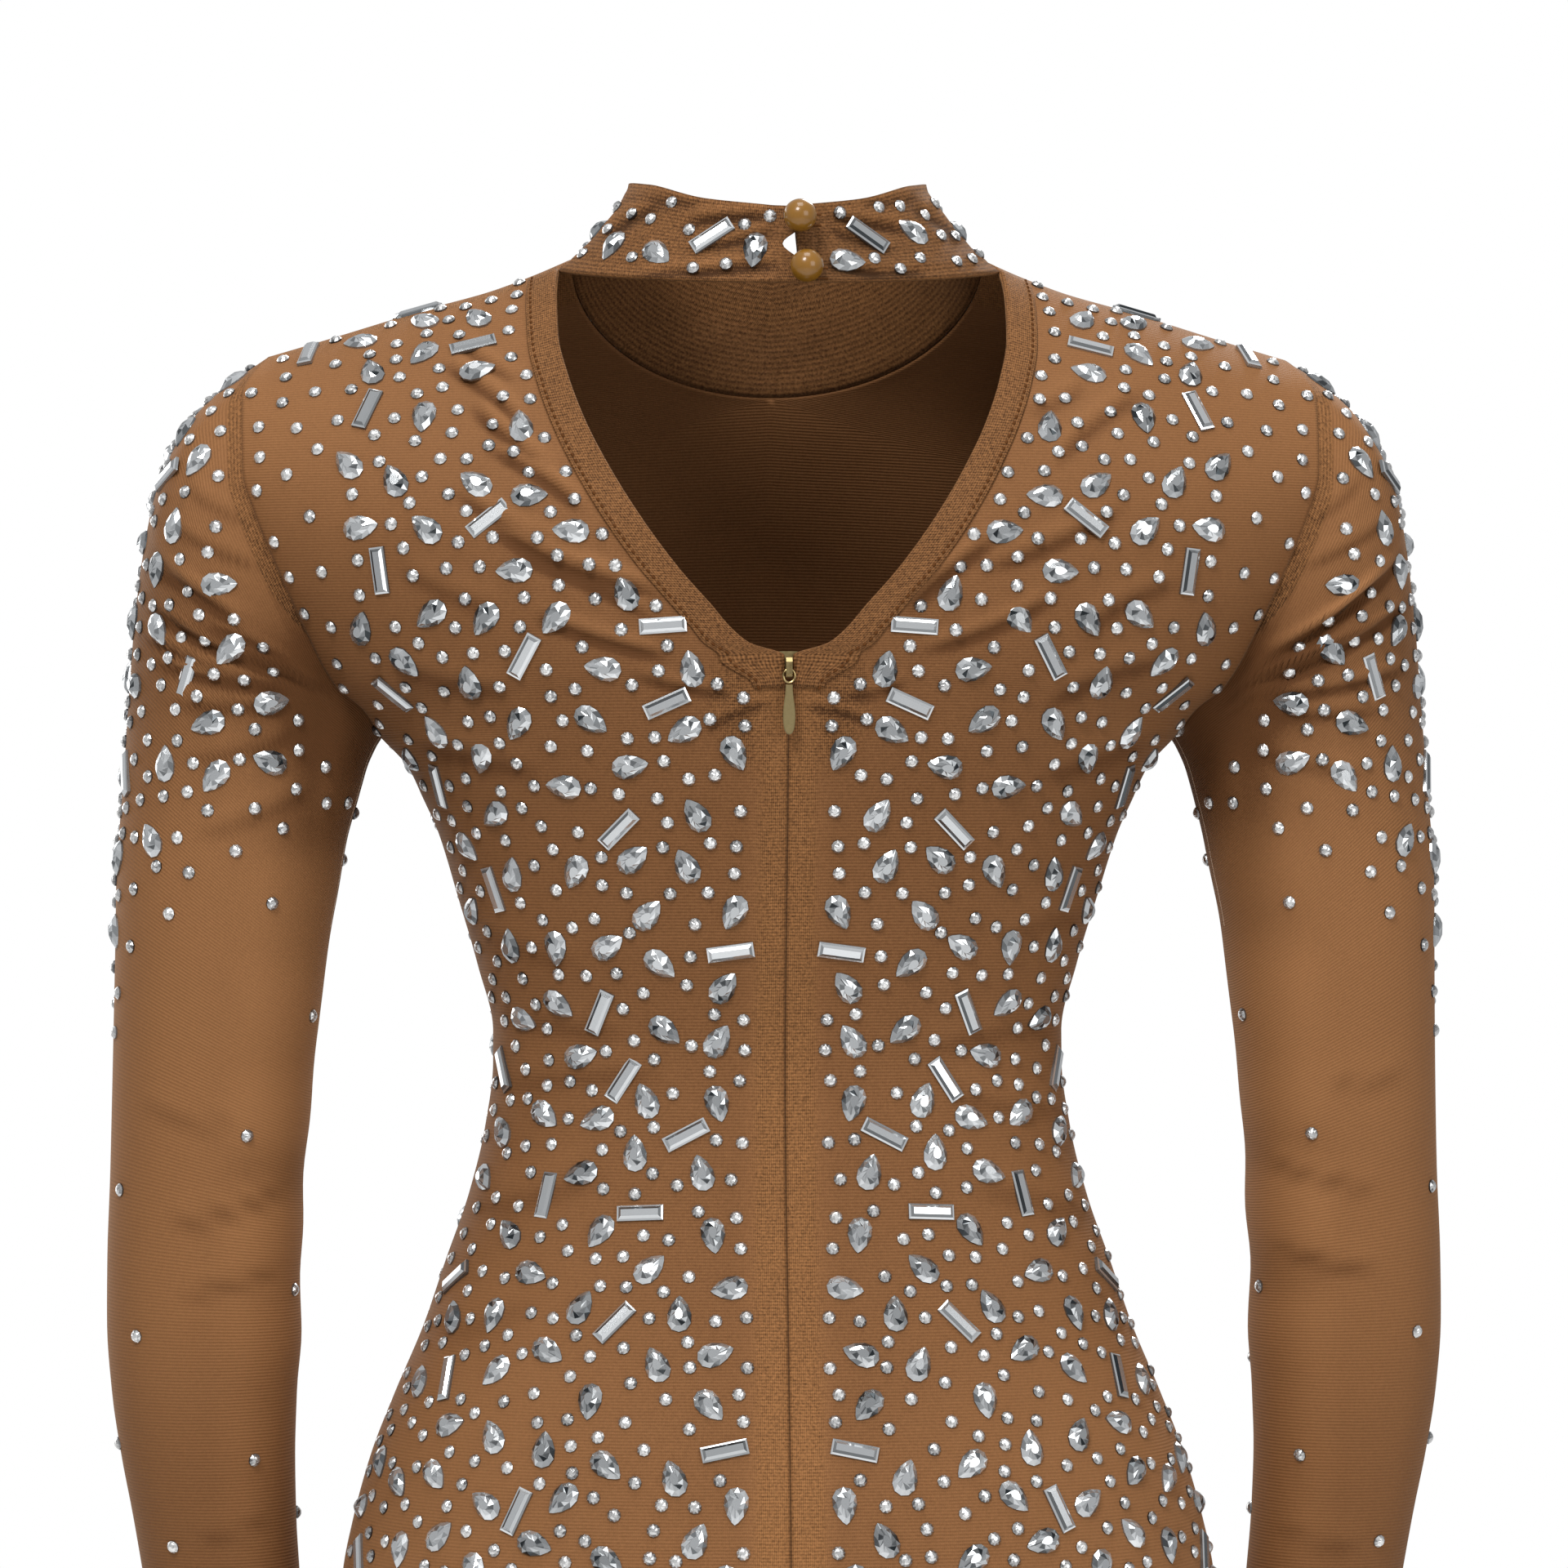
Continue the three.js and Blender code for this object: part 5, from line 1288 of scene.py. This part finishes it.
start = math.asin(SHANK_RADIUS / BUTTON_RADIUS)
ball_centre = SHANK_LENGTH + BUTTON_RADIUS * math.cos(start)
profile = [(SHANK_RADIUS, 0), (SHANK_RADIUS, SHANK_LENGTH)]
for angle in np.linspace(start, math.pi - 0.05, BALL_RINGS)[1:]:
    profile.append((BUTTON_RADIUS * math.sin(angle), ball_centre - BUTTON_RADIUS * math.cos(angle)))
ball_points, ball_faces = turned(profile, BALL_AROUND)
for name, x, share in BUTTONS:
    seat, out, rise = seat_of(x, share)
    side_way = np.cross(rise, out)
    turn = np.stack([side_way, rise, out], axis=0) * MM
    points = (ball_points * np.array([1, -1, 1])) @ turn + seat + out * GAP
    piece = solid_object(f"ball_{name}", points, ball_faces, gloss.material)
    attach(piece, "dress")
    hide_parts(f"button_{name}")

    bend = SHANK_RADIUS + LOOP_RADIUS + 0.3
    height = 0.3 + SHANK_LENGTH / 2
    route = [(-8.5, bend + 0.2, 1.0), (-3.5, bend, height), (0, bend, height),
             (bend * 0.75, bend * 0.75, height), (bend * 1.05, 0, height),
             (bend * 0.75, -bend * 0.75, height), (0, -bend, height), (-3.5, -bend, height),
             (-8.5, -bend - 0.2, 1.0)]
    line = bpy.data.curves.new(f"loop_{name}", "CURVE")
    line.dimensions = "3D"
    line.bevel_depth = LOOP_RADIUS * MM
    line.bevel_resolution = 3
    line.use_fill_caps = True
    spline = line.splines.new("NURBS")
    spline.points.add(len(route) - 1)
    spline.use_endpoint_u = True
    spline.order_u = 4
    spline.resolution_u = 8
    for point, (dx, dup, dout) in zip(spline.points, route):
        place = seat + np.array([dx * MM, 0, 0]) + rise * dup * MM + out * dout * MM
        point.co = (*place, 1.0)
    piece = made_plain(f"loop_{name}", placed(f"loop_{name}_line", line))
    piece.data.materials.clear()
    piece.data.materials.append(thread.material)
    piece.data.polygons.foreach_set("use_smooth", np.ones(len(piece.data.polygons), bool))
    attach(piece, "dress")
    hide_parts(f"button_loop_{name}")

# ------------------------------------------------------------------------------------------
# The stones: flat-backed and glued one by one over the whole dress, in a scatter that is the
# same on both halves. Cut drops and bars of clear acrylic, and small silvered rounds between.
# ------------------------------------------------------------------------------------------
BAR_LENGTH, BAR_WIDTH, BAR_RISE = 18, 6, 2.2
DROP_LENGTH, DROP_WIDTH, DROP_RISE = 14.4, 10.2, 3.1
ROUND_RADIUS, ROUND_RISE = 2.6, 2.0
SINK = 0.35  # how far a stone's rim is set into the glue


def stone(name, layers, painted_reflections, material, fan=True):
    """A cut stone of rings of points, foot first, with a painted reflection for each facet."""
    points = np.concatenate([np.array(ring, float) for ring in layers])
    n = len(layers[0])
    faces, facet_reflections = [], []
    for level in range(len(layers) - 1):
        for k in range(n):
            a, b = level * n + k, level * n + (k + 1) % n
            c, d = b + n, a + n
            if level == 0 or not fan:
                faces.append((a, b, c, d))
                facet_reflections.append(painted_reflections(level, k, 0))
            else:
                faces += [(a, b, d), (b, c, d)]
                facet_reflections += [painted_reflections(level, k, 0), painted_reflections(level, k, 1)]
    top = len(layers) - 1
    faces.append(tuple(top * n + k for k in range(n)))
    facet_reflections.append(painted_reflections(top, 0, 0))
    piece = solid_object(name, points * MM, faces, material, smooth_shade=False)
    carry(piece.data, "painted_reflection", "FLOAT", facet_reflections, "FACE")
    return piece


CAST = 0.36  # how far one stone differs from the next


def cut_stone(name, low, high, roughness, metallic):
    """Clear or silvered stone: each facet has its own grey, a painted reflection, and each stone
    its own cast.
    """
    paint = Paint(name, Metallic=metallic, Roughness=roughness)
    cast = (paint.attribute("twinkle") - 0.5) * CAST
    grey = paint.node("ShaderNodeClamp", None, paint.attribute("painted_reflection") + cast)
    paint.feed(Base_Color=paint.mix(grey, low, high))
    return paint.material


silvered = cut_stone("stone_silvered", (0.035, 0.036, 0.040), (0.84, 0.835, 0.82), 0.27, 0.9)
clear_cut = cut_stone("stone_clear", (0.028, 0.034, 0.038), (0.75, 0.77, 0.78), 0.12, 0.8)


def pear_ring(scale, count, height, half_step=0.0, slide=0.0):
    """A pear outline, its point along +X."""
    ring = []
    for k in range(count):
        a = 2 * math.pi * (k + half_step) / count
        x = DROP_LENGTH / 2 * math.cos(a)
        y = DROP_WIDTH / 2 * 1.12 * math.sin(a) * abs(math.sin(a / 2)) ** 0.62
        ring.append((x * scale + slide, y * scale, height))
    return ring


def bar_ring(inset, height):
    x, y = BAR_LENGTH / 2 - inset, BAR_WIDTH / 2 - inset
    return [(x, y, height), (-x, y, height), (-x, -y, height), (x, -y, height)]


def hashed(*numbers):
    """A number from 0 to 1 that looks random but is the same for the same facet."""
    mixed = sum(n * w for n, w in zip(numbers, (12.9, 78.2, 37.7)))
    return math.modf(abs(math.sin(mixed + 4.1)) * 4375.5)[0]


# painted reflections of the rounds, rim to top, and how far they spread
ROUND_REFLECTIONS, ROUND_SPREAD = (0.22, 0.50, 0.74, 0.90), 0.48
ROUND_SIDES = 10


def round_reflection(level, k, second):
    """Painted reflections: darker at the rim, light on top, with a spread from facet to facet."""
    spread = ROUND_SPREAD * hashed(level, k, second) - ROUND_SPREAD / 2 if level else 0
    return ROUND_REFLECTIONS[level] + spread


round_stone = stone(
    "round_stone",
    [round_ring(ROUND_RADIUS, ROUND_SIDES, -SINK), round_ring(ROUND_RADIUS, ROUND_SIDES, 0.6),
     round_ring(ROUND_RADIUS * 0.66, ROUND_SIDES, 1.5, 0.5),
     round_ring(ROUND_RADIUS * 0.28, ROUND_SIDES, ROUND_RISE)],
    round_reflection, silvered)
PEAR_SIDES = 12
# painted reflections of the drops, rim to top
PEAR_REFLECTIONS = (0.34, 0.60, 0.46, 0.55)


def pear_reflection(level, k, second):
    """Painted reflections on broad facets: light at the rim and the round end, dark patches towards
    the middle.
    """
    if level == 0:
        return PEAR_REFLECTIONS[0]
    a = 2 * math.pi * (k + 0.5) / PEAR_SIDES
    patch = math.sin(2 * a + 1.9 * level + 0.8)
    facet = hashed(level, k, second if level == 2 else 0)
    return min(1.0, max(0.04, PEAR_REFLECTIONS[level] + 0.18 * patch + 0.56 * (facet - 0.5)))


drop_stone = stone(
    "drop_stone",
    [pear_ring(1, PEAR_SIDES, -SINK), pear_ring(1, PEAR_SIDES, 0.6),
     pear_ring(0.7, PEAR_SIDES, 2.1, 0.5, -0.2),
     pear_ring(0.34, PEAR_SIDES, DROP_RISE, 0.0, -0.5)],
    pear_reflection, clear_cut)
# painted reflections of the bars, facet by facet from the foot to the top
BAR_REFLECTIONS = ((0.4,) * 4, (0.85, 0.95, 0.5, 0.9), (0.16, 0.5, 0.8, 0.35), (0.78,) * 4)
bar_stone = stone(
    "bar_stone",
    [bar_ring(0, -SINK), bar_ring(0, 0.9), bar_ring(0.7, 1.3), bar_ring(1.7, BAR_RISE)],
    lambda level, k, second: BAR_REFLECTIONS[level][k], clear_cut, fan=False)


def stone_tree(model):
    """Geometry Nodes that set one stone on each point, facing out of the cloth."""
    made = Tree(f"set_{model.name}",
                [("Points", "Geometry"), ("Stone", "Object"), ("Cast Seed", "Int")], "Stones")
    add, link, given = made.add, made.link, made.given
    info = add("GeometryNodeObjectInfo")
    link(given["Stone"], info.inputs["Object"])
    setting = made.set_on(given["Points"], info.outputs["Geometry"], made.vector("heading"))
    chance = add("FunctionNodeRandomValue")
    chance.data_type = "FLOAT"
    link(given["Cast Seed"], chance.inputs["Seed"])
    store = add("GeometryNodeStoreNamedAttribute")
    store.data_type, store.domain = "FLOAT", "INSTANCE"
    store.inputs["Name"].default_value = "twinkle"
    link(setting.outputs[0], store.inputs["Geometry"])
    link(chance.outputs[1], store.inputs["Value"])
    made.realized(store.outputs[0]).default_value = model.data.materials[0]
    return made.tree


def set_stones(name, model, tree, spots, seed):
    """One joined mesh of a stone set on every spot of a piece."""
    places, outs, headings = (np.array(column, np.float32) for column in zip(*spots))
    mesh = bpy.data.meshes.new(name)
    mesh.from_pydata(places.tolist(), [], [])
    carry(mesh, "out", "FLOAT_VECTOR", outs)
    carry(mesh, "heading", "FLOAT_VECTOR", headings)
    piece = made_by_nodes(name, mesh, tree, {"Stone": model, "Cast Seed": seed})
    for key in ("out", "heading"):
        if key in piece.data.attributes:
            piece.data.attributes.remove(piece.data.attributes[key])
    return piece


def at(array, r, c):
    """A grid's value between its rows and columns."""
    i, j = min(int(r), array.shape[0] - 2), min(int(c), array.shape[1] - 2)
    f, g = r - i, c - j
    low, high = mix(array[i, j], array[i, j + 1], g), mix(array[i + 1, j], array[i + 1, j + 1], g)
    return mix(low, high, f)


class Scatter:
    """Spots on a grid, found by throwing at random and keeping a clear distance."""

    def __init__(self, cloth, seed, allow):
        self.cloth, self.allow = cloth, allow
        self.rng = np.random.default_rng(seed)
        self.spots = []
        self.near = {}
        tall = np.linalg.norm(np.diff(cloth.grid, axis=0), axis=2)[:, :-1]
        wide = np.linalg.norm(np.diff(cloth.grid, axis=1), axis=2)[:-1]
        area = (tall * wide).reshape(-1)
        self.weights = area / area.sum()

    @staticmethod
    def box_of(place):
        """The box of space that a place is in. Only stones in boxes that touch can be near."""
        return tuple((place // (BOX * MM)).astype(int))

    def clear(self, kind, place, room):
        """Whether a stone of this kind has its clear distance from all the others."""
        i, j, k = self.box_of(place)
        for box in itertools.product((i - 1, i, i + 1), (j - 1, j, j + 1), (k - 1, k, k + 1)):
            for other, other_kind in self.near.get(box, ()):
                apart = APART[tuple(sorted((kind, other_kind)))] * room * MM
                if np.sum((other - place) ** 2) < apart ** 2:
                    return False
        return True

    def keep(self, kind, r, c, spin):
        """Takes a spot for a stone. A bar takes room along its whole length."""
        centre, out = at(self.cloth.grid, r, c), unit(at(self.cloth.normals, r, c))
        for step in (-6, 0, 6) if kind == "bar" else (0,):
            place = centre + self.heading(out, spin) * step * MM
            self.near.setdefault(self.box_of(place), []).append((place, kind))
        self.spots.append((kind, r, c, spin))

    @staticmethod
    def heading(out, spin):
        level = unit(np.cross(np.array([0, 0, 1.0]), out))
        rise = np.cross(out, level)
        return level * math.cos(spin) + rise * math.sin(spin)

    def throw(self, kind, tries):
        """Throws stones of one kind and keeps those that land well. A bar has no head or foot."""
        cells = self.rng.choice(len(self.weights), size=tries, p=self.weights)
        whole_turn = math.pi if kind == "bar" else 2 * math.pi
        columns = self.cloth.grid.shape[1] - 1
        inside = self.rng.random((tries, 3))
        for cell, (f, g, s) in zip(cells, inside):
            r, c = cell // columns + f, cell % columns + g
            place = at(self.cloth.grid, r, c)
            room = self.allow(kind, r, c, place)
            if room and self.clear(kind, place, room):
                self.keep(kind, r, c, s * whole_turn)


BOX = 24
APART = {  # least distances between centres
    ("drop", "drop"): 20.0, ("drop", "round"): 10.4, ("bar", "drop"): 11.4,
    ("round", "round"): 9.9, ("bar", "round"): 7.4, ("bar", "bar"): 23.5,
}
EDGE_ROOM = {"drop": 8 * MM, "round": 3.6 * MM, "bar": 12 * MM}
# The side seams lie in a bare strip: its heights, then its widths there.
SIDE_BARE = ((-900, -560, -440, -380, -320, -240, -180), (20, 20, 18, 15, 12, 18, 20))
BARE_SHOULDER, BARE_HEM = 14 * MM, 8 * MM
SPARSE = 1.32  # how much further apart the rounds lie beside the armhole


def panel_allow(side, grid, steps):
    """What says how much room a stone needs at a spot of a panel, or 0 where none may lie."""
    first = 0 if side == "front" else BAND_CELLS

    def allow(kind, r, c, place):
        fan = at(steps[:, None] * np.ones((1, 2)), r, 0) - UNDERARM_STEP
        margin = EDGE_ROOM[kind]
        row = grid[int(r)]
        edged = side == "back" or fan > FAN / 2
        if c < first or (edged and np.linalg.norm(place - row[first]) < margin):
            return 0
        from_side = np.linalg.norm(place - row[-1])
        bare = np.interp(place[2] / MM, *SIDE_BARE) * MM if fan <= 1 else 0
        if from_side < margin + bare or (side == "front" and abs(place[0]) < margin):
            return 0
        off_neck = c / (grid.shape[1] - 1) > 0.02
        if fan > FAN - 1.6 and off_neck and abs(place[1]) < BARE_SHOULDER:
            return 0
        if place[2] < HEM_Z * MM + BARE_HEM:
            return 0
        strip = 32 * MM + 12 * MM * smooth((fan - 4) / 4)
        upper = smooth((fan - 0.5) / 1.5) * smooth((strip - from_side) / (6 * MM))
        if kind != "round":
            return 0 if upper > 0.3 or fan > FAN - 1.2 else 1.0
        return mix(1.0, SPARSE, upper)

    return allow


ARM_STOP, ARM_THIN = (218, 292), 26  # where the dense stones stop, inside and outside the arm


def sleeve_allow(kind, r, c, place):
    """Dense over the cap and down the outer arm, then only a few far apart."""
    outer_share = (1 + math.cos(2 * math.pi * c / SLEEVE_AROUND)) / 2
    z = -place[2] / MM
    from_armhole = at(ring_v, r, min(c, SLEEVE_AROUND - 1.001)) / MM
    stop = mix(*ARM_STOP, outer_share ** 2)
    back_bare = 24 * (1 - outer_share)
    if z > CUFF_TURNED or from_armhole < (10 if kind == "drop" else 5) + back_bare:
        return 0
    if z < stop - ARM_THIN:
        return 1.0
    if kind == "drop":
        return 0
    if z < stop:
        return 1.35
    return 0 if z > CUFF_TURNED - 20 else 6.5


SOLID_CELLS = 8  # the stones' own grid has this many cells across


def bars_on_panel(scatter, side):
    """Bars at the same cells as the raised ones of the solid panels."""
    grid, steps = scatter.cloth.grid, scatter.cloth.rows
    lead = 1 if side == "back" else 0
    first = BAND_CELLS if side == "back" else 0

    def row_of(step):
        return float(np.interp(step, steps, np.arange(len(steps))))

    for row in range(UNDERARM_STEP + FAN):
        for column in range(lead, SOLID_CELLS + lead - 1):
            if (3 * row + column) % 8:
                continue
            r = row_of(row + 0.5)
            c = first + (column - lead + 0.5) * PANEL_CELLS / SOLID_CELLS
            wide = np.linalg.norm(at(grid, r, c - 5.4) - at(grid, r, c + 5.4))
            tall = np.linalg.norm(at(grid, row_of(row + 0.05), c) - at(grid, row_of(row + 0.95), c))
            if wide >= 10 * MM and tall >= 8 * MM:
                scatter.keep("bar", r, c, math.radians((row * 67 + column * 41) % 180))


def scattered(scatter, throws):
    for kind, tries in throws:
        scatter.throw(kind, tries)
    return scatter.spots


spots = {}
for side, cloth, seed in (("back", back_left, 21), ("front", front_left, 22)):
    scatter = Scatter(cloth, seed, panel_allow(side, cloth.grid, cloth.rows))
    bars_on_panel(scatter, side)
    spots[side] = scattered(scatter, (("bar", 26), ("drop", 4000), ("round", 26000)))


def opened(cloth):
    """A tube's grid with its first column again at the end."""
    grid, normals = (np.concatenate([a, a[:, :1]], axis=1) for a in (cloth.grid, cloth.normals))
    return cloth.changed(grid=grid, normals=normals)


BAR_SPOTS = [  # on the sleeve: row, column and spin
    (30, 12, 0.5), (44, 100, 2.2), (58, 22, 1.2), (66, 112, 0.3), (78, 6, 2.0), (52, 118, 1.5),
]
open_left, open_right = opened(sleeve_left), opened(sleeve_right)
scatter = Scatter(open_left, 23, sleeve_allow)
for r, c, spin in BAR_SPOTS:
    scatter.keep("bar", r, c, spin)
spots["sleeve"] = scattered(scatter, (("drop", 2400), ("round", 16000)))

MODELS = {"round": round_stone, "drop": drop_stone, "bar": bar_stone}
TREES = {kind: stone_tree(model) for kind, model in MODELS.items()}


def set_all(part, cloths, taken, seed):
    """Every stone of a part, on its left cloth and then mirrored on its right one."""
    for kind, model in MODELS.items():
        places = []
        for hand, cloth in zip((1, -1), cloths):
            for r, c, spin in (spot[1:] for spot in taken if spot[0] == kind):
                out = unit(at(cloth.normals, r, c))
                heading = Scatter.heading(out, spin if hand > 0 else math.pi - spin)
                places.append((at(cloth.grid, r, c), out, heading))
        set_stones(f"stones_{kind}_{part}", model, TREES[kind], places, seed)


HALVES = {"back": (back_left, back_right), "front": (front_left, front_right),
          "sleeve": (open_left, open_right)}
for part, cloths in HALVES.items():
    set_all(part, cloths, spots[part], 3)


def collar_allow(kind, r, c, place):
    """Clear of the band's two edges and of its ends, where the buttons are."""
    margin = 0.24 if kind == "drop" else 0.12
    share = r / COLLAR_UP
    from_ends = np.linalg.norm(place[:2] - ends["left"][0][:2])
    return 1.0 if margin < share < 1 - margin and from_ends >= 15 * MM else 0


collar_scatter = Scatter(collar, 24, collar_allow)
width = collar.grid.shape[1]
for c, spin in ((20, 0.6), (width - 24, 2.5), (66, 2.2), (width - 66, 0.9)):
    collar_scatter.keep("bar", COLLAR_UP * 0.55, c, spin)
set_all("collar", [collar], scattered(collar_scatter, (("drop", 500), ("round", 3000))), 4)
for model in MODELS.values():
    bpy.data.objects.remove(model)
